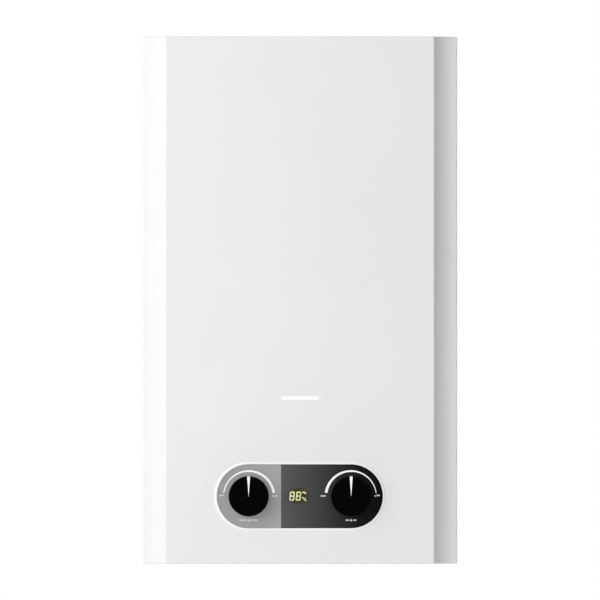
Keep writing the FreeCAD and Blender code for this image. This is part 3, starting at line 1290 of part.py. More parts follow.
keep("gas_valve_body", gas_valve_body())
keep("water_valve_body", water_valve_body())
keep("diaphragm_cover", diaphragm_cover())
keep("rubber_seals", group([diaphragm()] + fitting_gaskets()))
keep("valve_screws", group(housing_screws() + fitting_screws()))
keep("valve_rod", valve_rod())
keep("gas_disc", cylinder("x", AXIS, DISC_X, 9.0))
keep("gas_spring", gas_spring())
keep("microswitch", group([microswitch(), switch_pin()]))
keep("switch_lever", switch_lever())
keep("switch_button", switch_button())
keep("solenoid_coil", solenoid_coil())
keep("solenoid_plunger", solenoid_plunger())
keep("gas_spindle", gas_spindle())
keep("water_spindle", water_spindle())
keep("water_needle", water_needle())
keep("brass_nuts", group(gland_nuts() + [outlet_locknut()]))

keep("gas_inlet", flanged_fitting(GAS_X))
keep("cold_inlet", flanged_fitting(COLD_X))
keep("hot_outlet", hot_outlet_fitting())
keep("inlet_filter", inlet_filter())
keep("drain_valve_body", drain_valve_body())
keep("drain_knob", drain_knob())

keep("battery_box", group([battery_box(), door_pin()]))
keep("battery_cells", battery_cells())
keep("battery_contacts", battery_contacts())
keep("battery_door", battery_door())
keep("door_contact", door_contact())
keep("igniter_case", igniter_case())
keep("igniter_lid", igniter_lid())
keep("wire_harness", wire_harness())

os.makedirs("parts", exist_ok=True)
for name, shape in parts.items():
    count, volume = len(shape.Solids), shape.Volume / 1000
    print(f"{name:22s} valid {shape.isValid()}  solids {count:3d}  volume {volume:9.2f} cm3")
    shape.exportStep(os.path.join("parts", name + ".step"))
print(len(parts), "nodes")
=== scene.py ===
"""A wall-hung gas water heater, dressed piece by piece in the order in which it is put together."""

import math

import bmesh
import bpy
from mathutils import Matrix, Vector


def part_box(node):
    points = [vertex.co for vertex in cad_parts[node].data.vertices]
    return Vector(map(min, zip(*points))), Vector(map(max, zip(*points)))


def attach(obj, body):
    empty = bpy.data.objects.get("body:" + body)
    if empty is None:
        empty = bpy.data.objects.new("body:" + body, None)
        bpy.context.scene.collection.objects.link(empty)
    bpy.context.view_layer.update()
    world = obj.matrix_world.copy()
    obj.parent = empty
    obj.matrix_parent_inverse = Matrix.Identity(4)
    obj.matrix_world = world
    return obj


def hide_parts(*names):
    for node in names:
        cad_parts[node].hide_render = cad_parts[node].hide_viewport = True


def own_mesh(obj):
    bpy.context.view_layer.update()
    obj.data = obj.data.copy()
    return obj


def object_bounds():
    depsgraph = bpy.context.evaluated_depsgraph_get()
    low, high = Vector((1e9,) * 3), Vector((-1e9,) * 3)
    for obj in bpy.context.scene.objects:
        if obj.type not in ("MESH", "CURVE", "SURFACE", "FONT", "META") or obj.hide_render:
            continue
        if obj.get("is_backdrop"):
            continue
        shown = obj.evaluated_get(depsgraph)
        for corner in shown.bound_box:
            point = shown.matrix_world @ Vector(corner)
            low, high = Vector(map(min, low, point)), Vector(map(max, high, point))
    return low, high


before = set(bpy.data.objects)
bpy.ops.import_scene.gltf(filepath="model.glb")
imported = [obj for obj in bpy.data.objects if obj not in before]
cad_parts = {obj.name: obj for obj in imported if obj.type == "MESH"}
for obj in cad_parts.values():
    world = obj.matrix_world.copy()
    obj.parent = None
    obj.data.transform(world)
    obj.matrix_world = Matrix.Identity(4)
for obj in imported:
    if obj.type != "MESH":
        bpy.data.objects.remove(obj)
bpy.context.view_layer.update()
scene = bpy.context.scene


# ---- Studio
# A pale floor well below the hung heater, white air that is darker on the right and in front, a large soft
# lamp at the left with a shadowless one in the same place, and one behind for the back. A long lens looks
# straight at the front panel and takes in a width of 625.6 mm.
FRONT_Y = -0.160
LENS, SENSOR, VIEW_W = 600.0, 36.0, 0.6256
VIEW_X, VIEW_Z = 0.0001, 0.00015
camera = bpy.data.objects.new("camera", bpy.data.cameras.new("camera"))
camera.data.lens = LENS
camera.data.sensor_width = SENSOR
camera.data.clip_end = 100
camera.location = (VIEW_X, FRONT_Y - VIEW_W * LENS / SENSOR, VIEW_Z)
camera.rotation_euler = (math.radians(90), 0, 0)
scene.collection.objects.link(camera)
scene.camera = camera
scene.view_settings.view_transform = "Standard"

LAMP_HEIGHT = 0.45


def soft_lamp(name, angle, distance, size, energy, shadows=True):
    """A square lamp at an angle to the left of straight ahead, aimed at the middle of the heater's front."""
    lamp = bpy.data.objects.new(name, bpy.data.lights.new(name, "AREA"))
    lamp.data.size = size
    lamp.data.energy = energy
    lamp.data.use_shadow = shadows
    turn = math.radians(angle)
    lamp.location = (-distance * math.sin(turn), FRONT_Y - distance * math.cos(turn), LAMP_HEIGHT)
    aim = Vector((0, FRONT_Y, 0)) - lamp.location
    lamp.rotation_euler = aim.to_track_quat("-Z", "Y").to_euler()
    scene.collection.objects.link(lamp)


soft_lamp("key_lamp", angle=42, distance=2.0, size=1.6, energy=15.0)
soft_lamp("fill_lamp", angle=42, distance=2.0, size=1.6, energy=25.0, shadows=False)
soft_lamp("back_lamp", angle=205, distance=2.4, size=1.6, energy=12.0)


def wire_up(tree, kind, options=None, **inputs):
    """One shader node: options are its settings, inputs its sockets, by name or as in0, in1 by place."""
    made = tree.nodes.new("ShaderNode" + kind)
    for option, value in (options or {}).items():
        setattr(made, option, value)
    for name, value in inputs.items():
        at = int(name[2:]) if name[2:].isdigit() else name.replace("_", " ")
        if isinstance(value, bpy.types.NodeSocket):
            tree.links.new(value, made.inputs[at])
        else:
            made.inputs[at].default_value = value
    return made.outputs


air = bpy.data.worlds.new("studio_air")
air.use_nodes = True
scene.world = air
tree = air.node_tree
tree.nodes.clear()
direction = wire_up(tree, "TexCoord")["Generated"]
ways = wire_up(tree, "SeparateXYZ", Vector=direction)
left_to_right = {"From_Min": -1, "From_Max": 1, "To_Min": 0.69, "To_Max": 0.33}
sides = wire_up(tree, "MapRange", Value=ways["X"], **left_to_right)["Result"]
dark_ahead = {"From_Min": -0.995, "From_Max": -0.955, "To_Min": 0.10, "To_Max": 1}
front = wire_up(tree, "MapRange", Value=ways["Y"], **dark_ahead)["Result"]
glow = wire_up(tree, "Math", {"operation": "MULTIPLY"}, in0=sides, in1=front)["Value"]
soft = wire_up(tree, "Background", Color=(1, 1, 1, 1), Strength=glow)["Background"]
white = wire_up(tree, "Background", Color=(1, 1, 1, 1), Strength=1.0)["Background"]
seen = wire_up(tree, "LightPath")["Is Camera Ray"]
mixed = wire_up(tree, "MixShader", in0=seen, in1=soft, in2=white)["Shader"]
wire_up(tree, "OutputWorld", Surface=mixed)


# ---- Back plate
# Pressed from galvanised sheet, with three ribs, two keyholes for the wall hooks, and its top and sides
# folded forwards. Zinc spangle shows as small flat crystals, each with its own faint shade.
def new_finish(name, colour, roughness, metallic=0.0):
    """A finish with its shader; the sockets that are the same all over are set here."""
    finish = bpy.data.materials.new(name)
    finish.use_nodes = True
    shader = finish.node_tree.nodes["Principled BSDF"]
    shader.inputs["Base Color"].default_value = (*colour, 1)
    shader.inputs["Roughness"].default_value = roughness
    shader.inputs["Metallic"].default_value = metallic
    return finish, finish.node_tree, shader


def spread(tree, source, low, high, start=0.3, end=0.7):
    """A pattern stretched to run from low to high."""
    span = {"From_Min": start, "From_Max": end, "To_Min": low, "To_Max": high}
    return wire_up(tree, "MapRange", Value=source, **span)["Result"]


def shade(tree, factor, pale, deep):
    """A colour that runs from pale to deep with a pattern."""
    colours = {"Color1": (*pale, 1) if isinstance(pale, tuple) else pale}
    colours["Color2"] = (*deep, 1) if isinstance(deep, tuple) else deep
    return wire_up(tree, "MixRGB", Fac=factor, **colours)["Color"]


def cloud(tree, size, stretch=(1, 1, 1), detail=3.0):
    """Soft patches about size metres across, drawn out along an axis by stretch."""
    place = wire_up(tree, "TexCoord")["Object"]
    drawn = wire_up(tree, "Mapping", Vector=place, Scale=stretch)["Vector"]
    return wire_up(tree, "TexNoise", Vector=drawn, Scale=1 / size, Detail=detail)[0]


def emboss(tree, shader, pattern, depth, strength=0.6):
    """Relief of depth metres, pressed into the surface on top of any there already."""
    below = shader.inputs["Normal"].links
    before = {"Normal": below[0].from_socket} if below else {}
    relief = wire_up(tree, "Bump", Height=pattern, Distance=depth, Strength=strength, **before)["Normal"]
    tree.links.new(relief, shader.inputs["Normal"])


def edges_of(tree, radius):
    """1 along outside and inside corners, 0 on open surfaces, broken up as wear is."""
    rounded = wire_up(tree, "Bevel", {"samples": 4}, Radius=radius)["Normal"]
    plain = wire_up(tree, "NewGeometry")["Normal"]
    turned_by = wire_up(tree, "VectorMath", {"operation": "DOT_PRODUCT"}, in0=rounded, in1=plain)["Value"]
    corner = spread(tree, turned_by, 1.0, 0.0, 0.93, 0.995)
    broken = spread(tree, cloud(tree, 0.004), 0.35, 1.0)
    return wire_up(tree, "Math", {"operation": "MULTIPLY"}, in0=corner, in1=broken)["Value"]


def galvanised(name):
    """Hot-dip zinc: crystals of slightly different tone and gloss, dull patches, edges rubbed bright."""
    finish, tree, shader = new_finish(name, (0.60, 0.61, 0.62), 0.42, metallic=1.0)
    place = wire_up(tree, "TexCoord")["Object"]
    swirl = wire_up(tree, "TexNoise", Vector=place, Scale=60.0, Detail=2.0)[1]
    bent = wire_up(tree, "MixRGB", Fac=0.006, Color1=place, Color2=swirl)["Color"]
    crystal = wire_up(tree, "TexVoronoi", Vector=bent, Scale=230.0)["Color"]
    tone = wire_up(tree, "SeparateXYZ", Vector=crystal)
    body = shade(tree, tone["X"], (0.64, 0.65, 0.66), (0.55, 0.565, 0.58))
    dull = spread(tree, cloud(tree, 0.05), 0.0, 0.35)
    body = shade(tree, dull, body, (0.40, 0.41, 0.41))
    rubbed = edges_of(tree, 0.0008)
    tree.links.new(shade(tree, rubbed, body, (0.78, 0.78, 0.77)), shader.inputs["Base Color"])
    tree.links.new(spread(tree, tone["Y"], 0.36, 0.46, 0, 1), shader.inputs["Roughness"])
    emboss(tree, shader, tone["Z"], 0.000004)
    emboss(tree, shader, cloud(tree, 0.0012), 0.000006)
    return finish


def dress(finish, *names):
    """Gives CAD nodes their finish; their shape stays as it is."""
    for name in names:
        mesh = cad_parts[name].data
        mesh.materials.clear()
        mesh.materials.append(finish)


zinc_sheet = galvanised("galvanised_sheet")
dress(zinc_sheet, "back_plate")


# ---- Bottom panel and brackets
# The bottom panel is the same zinc sheet, slotted for the burner's air and holed for the connections. Four
# folded channels of it carry the chamber and the two valves on the back plate.
dress(zinc_sheet, "bottom_panel", "mounting_brackets")


# ---- Combustion chamber, fins, finned tube and pipes
# Copper sheet and tube, coloured by heat: brown near the burner, bright where it stays cool. The finned tube
# crosses the 41 fins five times, and the coil cools the chamber's wall.
HOT_Z, COOL_Z = -0.12, 0.16


def distance_along(tree, axis):
    """How far along one of the frame's axes each spot lies, in metres."""
    return wire_up(tree, "SeparateXYZ", Vector=wire_up(tree, "TexCoord")["Object"])[axis]


def heated_copper(name, cool, hot):
    """Copper that heat has coloured in patches, more the nearer it is to the burner."""
    finish, tree, shader = new_finish(name, cool, 0.34, metallic=1.0)
    heat = spread(tree, distance_along(tree, "Z"), 0.85, 0.0, HOT_Z, COOL_Z)
    patches = spread(tree, cloud(tree, 0.03), 0.3, 1.4)
    tinge = wire_up(tree, "Math", {"operation": "MULTIPLY"}, in0=heat, in1=patches)["Value"]
    body = shade(tree, tinge, cool, hot)
    body = shade(tree, spread(tree, cloud(tree, 0.006, detail=6.0), 0, 0.3), body, (0.30, 0.14, 0.09))
    tree.links.new(body, shader.inputs["Base Color"])
    tree.links.new(spread(tree, cloud(tree, 0.012), 0.24, 0.48), shader.inputs["Roughness"])
    emboss(tree, shader, cloud(tree, 0.002), 0.00002)
    return finish


tube_copper = heated_copper("tube_copper", (0.78, 0.40, 0.25), (0.42, 0.17, 0.12))
sheet_copper = heated_copper("sheet_copper", (0.70, 0.36, 0.23), (0.30, 0.13, 0.11))
dress(sheet_copper, "combustion_chamber", "fin_pack")
dress(tube_copper, "finned_tube", "cold_pipe_coil", "hot_pipe")


# ---- Thermostat and outlet sensor
# A round cut-out switch with two blades on the chamber's left wall, and a temperature pill clipped to the
# hot pipe. Both are moulded in black plastic.
def moulded(name, pale, deep, low, high, grain=0.0006, depth=0.000012, specular=0.5):
    """Moulded plastic: a fine eroded grain, faint flow marks and edges polished by handling."""
    finish, tree, shader = new_finish(name, pale, (low + high) / 2)
    shader.inputs["Specular IOR Level"].default_value = specular
    body = shade(tree, spread(tree, cloud(tree, 0.02), 0, 1), pale, deep)
    worn = tuple(min(1.0, channel * 1.25 + 0.01) for channel in pale)
    tree.links.new(shade(tree, edges_of(tree, 0.0005), body, worn), shader.inputs["Base Color"])
    tree.links.new(spread(tree, cloud(tree, 0.008), low, high), shader.inputs["Roughness"])
    emboss(tree, shader, cloud(tree, grain, detail=2.0), depth)
    return finish


sensor_black = moulded("sensor_black", (0.030, 0.030, 0.032), (0.018, 0.018, 0.020), 0.38, 0.55)
dress(sensor_black, "temperature_sensors")


# ---- Burner
# A zinc-sheet frame holds nine stainless blades, each folded and pressed from one strip, with its ports in
# the top edge. Gas leaves nine brass injectors on a cast rail in front of the blades' throats.
def drawn_steel(name, pale, deep, along, low, high):
    """Bright steel with rolling or drawing lines along one axis."""
    finish, tree, shader = new_finish(name, pale, (low + high) / 2, metallic=1.0)
    lines = cloud(tree, 0.0008, stretch=along, detail=5.0)
    body = shade(tree, spread(tree, lines, 0, 1), pale, deep)
    tree.links.new(shade(tree, edges_of(tree, 0.0005), body, (0.80, 0.80, 0.78)), shader.inputs["Base Color"])
    tree.links.new(spread(tree, lines, low, high), shader.inputs["Roughness"])
    emboss(tree, shader, lines, 0.000008)
    return finish


def cast_metal(name, pale, deep, low, high):
    """Die-cast metal: a pebbled skin with duller patches and edges dressed bright."""
    finish, tree, shader = new_finish(name, pale, (low + high) / 2, metallic=1.0)
    body = shade(tree, spread(tree, cloud(tree, 0.01, detail=5.0), 0, 1), pale, deep)
    tree.links.new(shade(tree, edges_of(tree, 0.0008), body, (0.82, 0.82, 0.81)), shader.inputs["Base Color"])
    tree.links.new(spread(tree, cloud(tree, 0.006), low, high), shader.inputs["Roughness"])
    emboss(tree, shader, cloud(tree, 0.0014), 0.00006)
    return finish


def turned_brass(name, axis):
    """Machined brass: fine tool lines round the axis, patches of tarnish and bright corners."""
    finish, tree, shader = new_finish(name, (0.80, 0.58, 0.26), 0.3, metallic=1.0)
    stretch = tuple(1.0 if i == axis else 0.02 for i in range(3))
    lines = cloud(tree, 0.0003, stretch=stretch)
    tarnish = spread(tree, cloud(tree, 0.009, detail=5.0), 0, 1)
    body = shade(tree, tarnish, (0.83, 0.62, 0.30), (0.58, 0.38, 0.16))
    tree.links.new(shade(tree, edges_of(tree, 0.0006), body, (0.92, 0.76, 0.42)), shader.inputs["Base Color"])
    tree.links.new(spread(tree, cloud(tree, 0.004), 0.20, 0.42), shader.inputs["Roughness"])
    emboss(tree, shader, lines, 0.00001)
    return finish


blade_steel = drawn_steel("blade_steel", (0.62, 0.60, 0.57), (0.42, 0.38, 0.34), (1, 0.03, 1), 0.28, 0.46)
grey_casting = cast_metal("grey_casting", (0.62, 0.63, 0.64), (0.48, 0.49, 0.50), 0.42, 0.62)
brass_in_y = turned_brass("brass_turned_front_to_back", 1)
dress(zinc_sheet, "burner_frame")
dress(blade_steel, "burner_blades")
dress(grey_casting, "gas_manifold")
dress(brass_in_y, "gas_injectors")


# ---- Electrodes and their leads
# Glazed white ceramic rods with a steel wire tip that reaches over the blades: one sparks, the other senses
# the flame. Red silicone sleeves run from them to the controller.
TIP_START_Y, SHARP = -0.118, 0.0001
electrode_finish, tree, shader = new_finish("glazed_ceramic", (0.86, 0.84, 0.79), 0.15)
on_wire = spread(tree, distance_along(tree, "Y"), 0.0, 1.0, TIP_START_Y - SHARP, TIP_START_Y + SHARP)
glaze = shade(tree, spread(tree, cloud(tree, 0.003), 0, 0.5), (0.86, 0.84, 0.79), (0.74, 0.70, 0.62))
tree.links.new(shade(tree, on_wire, glaze, (0.42, 0.38, 0.34)), shader.inputs["Base Color"])
tree.links.new(on_wire, shader.inputs["Metallic"])
tree.links.new(spread(tree, on_wire, 0.14, 0.40, 0, 1), shader.inputs["Roughness"])
emboss(tree, shader, cloud(tree, 0.001), 0.00001)
dress(electrode_finish, "electrodes")


def soft_rubber(name, pale, deep, low=0.5, high=0.7):
    """Rubber or silicone: matt, with a dusty bloom in patches and a fine skin."""
    finish, tree, shader = new_finish(name, pale, (low + high) / 2)
    body = shade(tree, spread(tree, cloud(tree, 0.006, detail=5.0), 0, 1), pale, deep)
    tree.links.new(body, shader.inputs["Base Color"])
    tree.links.new(spread(tree, cloud(tree, 0.004), low, high), shader.inputs["Roughness"])
    emboss(tree, shader, cloud(tree, 0.0005), 0.00001)
    return finish


red_silicone = soft_rubber("red_silicone", (0.42, 0.035, 0.022), (0.30, 0.020, 0.015), 0.38, 0.55)
dress(red_silicone, "electrode_leads")


# ---- Gas and water valves
# The gas valve is an aluminium casting, the water valve and its bolted diaphragm cover are hot-pressed
# brass. A rod on the diaphragm opens the gas disc against a spring and trips the microswitch's lever, which
# presses its red button.
def plated_steel(name):
    """Zinc plate on small steel parts: even and bright, with faint clouding and corners rubbed brighter."""
    finish, tree, shader = new_finish(name, (0.74, 0.74, 0.72), 0.28, metallic=1.0)
    body = shade(tree, spread(tree, cloud(tree, 0.005), 0, 1), (0.76, 0.76, 0.74), (0.63, 0.63, 0.61))
    tree.links.new(shade(tree, edges_of(tree, 0.0004), body, (0.86, 0.86, 0.84)), shader.inputs["Base Color"])
    tree.links.new(spread(tree, cloud(tree, 0.003), 0.22, 0.34), shader.inputs["Roughness"])
    emboss(tree, shader, cloud(tree, 0.0012, detail=1.5), 0.000003)
    return finish


pressed_brass = cast_metal("pressed_brass", (0.72, 0.53, 0.26), (0.55, 0.37, 0.17), 0.36, 0.55)
bright_plate = plated_steel("bright_zinc_plate")
black_rubber = soft_rubber("black_rubber", (0.022, 0.022, 0.022), (0.035, 0.035, 0.034))
brass_in_z = turned_brass("brass_turned_upright", 2)
dress(grey_casting, "gas_valve_body")
dress(pressed_brass, "water_valve_body", "diaphragm_cover", "drain_valve_body")
dress(black_rubber, "rubber_seals", "gas_disc")
dress(bright_plate, "valve_screws", "valve_rod", "switch_lever")
dress(bright_plate, "solenoid_coil", "solenoid_plunger")
dress(sensor_black, "microswitch")
dress(red_silicone, "switch_button")
dress(brass_in_y, "gas_spindle", "water_spindle", "water_needle")
dress(brass_in_z, "brass_nuts")


# ---- Gas, cold and hot connections
# Brass fittings with a half-inch parallel pipe thread below the bottom panel: a two-screw flange and a
# spanner hexagon on the gas and cold ones, a soldered socket and a lock nut on the hot one.
MM = 0.001
PITCH, THREAD_TOP, THREAD_ROOT, RUN_IN_TURNS = 1.814, 10.48, 9.32, 1.5
STEEPNESS, ROOT_FLAT = 1.45, 0.2
STUB_END, CHAMFER, MOUTH_CHAMFER = -271.0, 1.3, 0.4
ROWS_A_TURN = 10


def turned_piece(name, rows, sides=72):
    """A ring about the upright axis: each row is a radius, or a rule for it at each angle, and a height."""
    mesh = bmesh.new()
    rings = []
    for radius, z in rows:
        ring = []
        for k in range(sides):
            angle = 2 * math.pi * k / sides
            r = radius(angle) if callable(radius) else radius
            ring.append(mesh.verts.new((r * math.cos(angle) * MM, r * math.sin(angle) * MM, z * MM)))
        rings.append(ring)
    for low, high in zip(rings, rings[1:] + rings[:1]):
        for k in range(sides):
            mesh.faces.new((low[k], low[k - 1], high[k - 1], high[k]))
    bmesh.ops.remove_doubles(mesh, verts=mesh.verts, dist=1e-7)
    bmesh.ops.recalc_face_normals(mesh, faces=mesh.faces)
    return finished_mesh(name, mesh)


def finished_mesh(name, mesh, crease=35):
    """The mesh as data, smooth but for edges sharper than crease degrees."""
    data = bpy.data.meshes.new(name)
    mesh.to_mesh(data)
    mesh.free()
    data.shade_smooth()
    data.set_sharp_from_angle(angle=math.radians(crease))
    return data


def mesh_of(drawing):
    """The mesh that a curve draws."""
    holder = bpy.data.objects.new(drawing.name, drawing)
    scene.collection.objects.link(holder)
    data = bpy.data.meshes.new_from_object(holder.evaluated_get(bpy.context.evaluated_depsgraph_get()))
    bpy.data.objects.remove(holder)
    return data


def cut_sheet(name, outlines, thickness, edge=0.0):
    """A flat piece from closed outlines in millimetres, holes included, with a small bevel on its edges."""
    drawing = bpy.data.curves.new(name, "CURVE")
    drawing.dimensions = "2D"
    drawing.fill_mode = "BOTH"
    drawing.extrude = (thickness / 2 - edge) * MM
    drawing.bevel_depth = edge * MM
    drawing.bevel_resolution = 1
    for outline in outlines:
        line = drawing.splines.new("POLY")
        line.points.add(len(outline) - 1)
        for point, (x, y) in zip(line.points, outline):
            point.co = (x * MM, y * MM, 0, 1)
        line.use_cyclic_u = True
    return mesh_of(drawing)


def circle_points(x, y, radius, count=32, start=0.0, sweep=360.0):
    """Points along a circle, or along a part of one."""
    full = sweep == 360.0
    steps = count if full else count - 1
    turns = [math.radians(start + sweep * k / steps) for k in range(count)]
    return [(x + radius * math.cos(t), y + radius * math.sin(t)) for t in turns]


def one_piece(name, finish, body, slot, *meshes, nodes=()):
    """Joins meshes into one piece, gives it its finish and fixes it to its body, in place of CAD nodes."""
    whole = bmesh.new()
    for mesh in meshes:
        whole.from_mesh(mesh)
    data = bpy.data.meshes.new(name)
    whole.to_mesh(data)
    whole.free()
    data.materials.append(finish)
    piece = bpy.data.objects.new(name, data)
    scene.collection.objects.link(piece)
    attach(piece, body)
    if nodes:
        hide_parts(*nodes)
    return piece


def hexagon(across_flats, cone):
    """A hexagon's radius at each angle, held in by a chamfer cone where that is smaller."""
    def radius(angle):
        off_flat = (angle + math.pi / 6) % (math.pi / 3) - math.pi / 6
        return min(across_flats / 2 / math.cos(off_flat), cone)
    return radius


def thread_rule(z, run_in):
    """Radius round the thread at one height: rounded flanks that fade in below the hexagon."""
    def radius(angle):
        turn = (z / PITCH - angle / (2 * math.pi)) % 1.0
        rise = 0.5 - 0.5 * math.cos(2 * math.pi * turn)
        flank = min(1.0, max(0.0, STEEPNESS * rise - ROOT_FLAT))
        full = THREAD_ROOT + (THREAD_TOP - THREAD_ROOT) * flank
        r = THREAD_TOP - (THREAD_TOP - full) * min(1.0, run_in)
        return min(r, THREAD_TOP - CHAMFER + (z - STUB_END))
    return radius


def thread_rows(top, bottom):
    """Rows down the thread, closed by the chamfered end."""
    count = int((top - bottom) / PITCH * ROWS_A_TURN)
    rows = []
    for k in range(count + 1):
        z = top + (bottom - top) * k / count
        rows.append((thread_rule(z, (top - z) / (RUN_IN_TURNS * PITCH)), z))
    return rows


HEX_FACE, HEX_DROP, LIP_OUT, LIP_DROP = 0.97, 0.9, 0.4, 0.15


def spanner_rows(across_flats, low, high):
    """Outside of a chamfered hexagon from its upper face down."""
    corner = across_flats / 2 / math.cos(math.pi / 6)
    face = across_flats / 2 * HEX_FACE
    return [
        (face, high),
        (hexagon(across_flats, face + LIP_OUT), high - LIP_DROP),
        (hexagon(across_flats, corner), high - HEX_DROP),
        (hexagon(across_flats, corner), low + HEX_DROP),
        (hexagon(across_flats, face + LIP_OUT), low + LIP_DROP),
        (face, low),
    ]


STUB_BORE, HEX_TOP, HEX_LOW, SPANNER = 7.0, -231.5, -245.0, 24.0
FLANGE_LOW, FLANGE_THICK, FLANGE_W, FLANGE_L, FLANGE_SCREW = -231.5, 3.0, 24.0, 42.0, 16.0
FLANGE_CORNER, FLANGE_EDGE, SCREW_HOLE_R, INTO_BARREL = 6.0, 0.3, 2.1, 1
GAS_X, COLD_X, VALVE_Y = -88, 78, -78


def flanged_fitting(name, x, y, nodes):
    """A threaded barrel with a spanner hexagon, and the two-screw plate that holds it to its valve."""
    flange_top = FLANGE_LOW + FLANGE_THICK
    rows = [(STUB_BORE, flange_top), (SPANNER / 2 * HEX_FACE, flange_top), (SPANNER / 2 * HEX_FACE, HEX_TOP)]
    rows += spanner_rows(SPANNER, HEX_LOW, HEX_TOP)[1:]
    rows += thread_rows(HEX_LOW, STUB_END)
    rows += [(STUB_BORE + MOUTH_CHAMFER, STUB_END), (STUB_BORE, STUB_END + MOUTH_CHAMFER)]
    barrel = turned_piece(name, rows)
    corners = []
    for side_x, side_y, start in ((1, 1, 0), (-1, 1, 90), (-1, -1, 180), (1, -1, 270)):
        centre = (side_x * (FLANGE_W / 2 - FLANGE_CORNER), side_y * (FLANGE_L / 2 - FLANGE_CORNER))
        corners += circle_points(*centre, FLANGE_CORNER, count=8, start=start, sweep=90)
    holes = [circle_points(0, side * FLANGE_SCREW, SCREW_HOLE_R, count=20) for side in (-1, 1)]
    holes.append(circle_points(0, 0, STUB_BORE + INTO_BARREL, count=40))
    plate = cut_sheet(name, [corners, *holes], FLANGE_THICK, FLANGE_EDGE)
    barrel.transform(Matrix.Translation((x * MM, y * MM, 0)))
    plate.transform(Matrix.Translation((x * MM, y * MM, (FLANGE_LOW + FLANGE_THICK / 2) * MM)))
    one_piece(name, brass_in_z, "heater", "brass", barrel, plate, nodes=nodes)


flanged_fitting("gas_connection", GAS_X, VALVE_Y, ["gas_inlet"])
flanged_fitting("cold_connection", COLD_X, VALVE_Y, ["cold_inlet"])

HOT_X, HOT_Y, HOT_BORE, HOT_HEX_TOP, HOT_HEX_LOW = -128, -46, 5.2, -231.0, -243.0
SOCKET_BORE, SOCKET_R, SOCKET_TOP, SOCKET_EDGE = 6.08, 9.0, -219.0, 0.3
NECK_R, NECK_LOW = 10.28, -250.2
hot_rows = [(SOCKET_BORE, SOCKET_TOP), (SOCKET_R - SOCKET_EDGE, SOCKET_TOP)]
hot_rows += [(SOCKET_R, SOCKET_TOP - SOCKET_EDGE), (SOCKET_R, HOT_HEX_TOP)]
hot_rows += spanner_rows(SPANNER, HOT_HEX_LOW, HOT_HEX_TOP)
hot_rows += [(NECK_R, HOT_HEX_LOW), (NECK_R, NECK_LOW)]
hot_rows += thread_rows(NECK_LOW, STUB_END)
hot_rows += [(HOT_BORE + MOUTH_CHAMFER, STUB_END), (HOT_BORE, STUB_END + MOUTH_CHAMFER)]
hot_rows += [(HOT_BORE, HOT_HEX_TOP), (SOCKET_BORE, HOT_HEX_TOP)]
hot_barrel = turned_piece("hot_connection", hot_rows)
hot_barrel.transform(Matrix.Translation((HOT_X * MM, HOT_Y * MM, 0)))
one_piece("hot_connection", brass_in_z, "heater", "brass", hot_barrel, nodes=["hot_outlet"])


# ---- Gas spring
# Five turns of 1.2 mm plated steel wire inside the gas valve. It pushes the gas disc shut, and the rod
# squeezes it against the solenoid's seat to open the gas.
SPRING_R, WIRE_R, SPRING_TURNS, BENDS_A_TURN = 7.5, 0.6, 5, 24
spring_low, spring_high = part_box("gas_spring")
middle_y, middle_z = (spring_low[1] + spring_high[1]) / 2, (spring_low[2] + spring_high[2]) / 2
spring_start, spring_length = spring_low[0] + WIRE_R * MM, spring_high[0] - spring_low[0] - 2 * WIRE_R * MM
coil = bpy.data.curves.new("gas_spring_coil", "CURVE")
coil.dimensions = "3D"
coil.bevel_depth = WIRE_R * MM
coil.bevel_resolution = 3
coil.use_fill_caps = True
winding = coil.splines.new("POLY")
winding.points.add(SPRING_TURNS * BENDS_A_TURN)
for k, point in enumerate(winding.points):
    angle = 2 * math.pi * k / BENDS_A_TURN
    along = spring_start + spring_length * k / (SPRING_TURNS * BENDS_A_TURN)
    up = middle_z - SPRING_R * MM * math.cos(angle)
    point.co = (along, middle_y + SPRING_R * MM * math.sin(angle), up, 1)
wire = mesh_of(coil)
gas_spring = one_piece("gas_spring_coil", bright_plate, "heater", "plated_steel", wire, nodes=["gas_spring"])
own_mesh(gas_spring)


# ---- Strainer, drain valve and its knob
# A grey moulded strainer sits in the cold connection's mouth. The drain valve's blue knob is grooved for
# fingers and unscrews to empty the heater before frost.
strainer_grey = moulded("strainer_grey", (0.20, 0.21, 0.22), (0.15, 0.16, 0.17), 0.35, 0.5)
drain_blue = moulded("drain_blue", (0.020, 0.075, 0.33), (0.014, 0.055, 0.26), 0.30, 0.46)
dress(strainer_grey, "inlet_filter")
dress(drain_blue, "drain_knob")


# ---- Battery box, cells, contacts and door
# A grey moulded bay for two large dry cells, open below, with bright plated spring contacts. Its white door
# hinges at the back and has a finger lip in front. Each cell is a crimped steel can in a printed sleeve.
bay_grey = moulded("bay_grey", (0.16, 0.165, 0.175), (0.12, 0.125, 0.135), 0.42, 0.58)
door_white = moulded("door_white", (0.84, 0.84, 0.83), (0.79, 0.79, 0.78), 0.28, 0.42, specular=0.4)
dress(bay_grey, "battery_box")
dress(door_white, "battery_door")
dress(bright_plate, "battery_contacts", "door_contact")

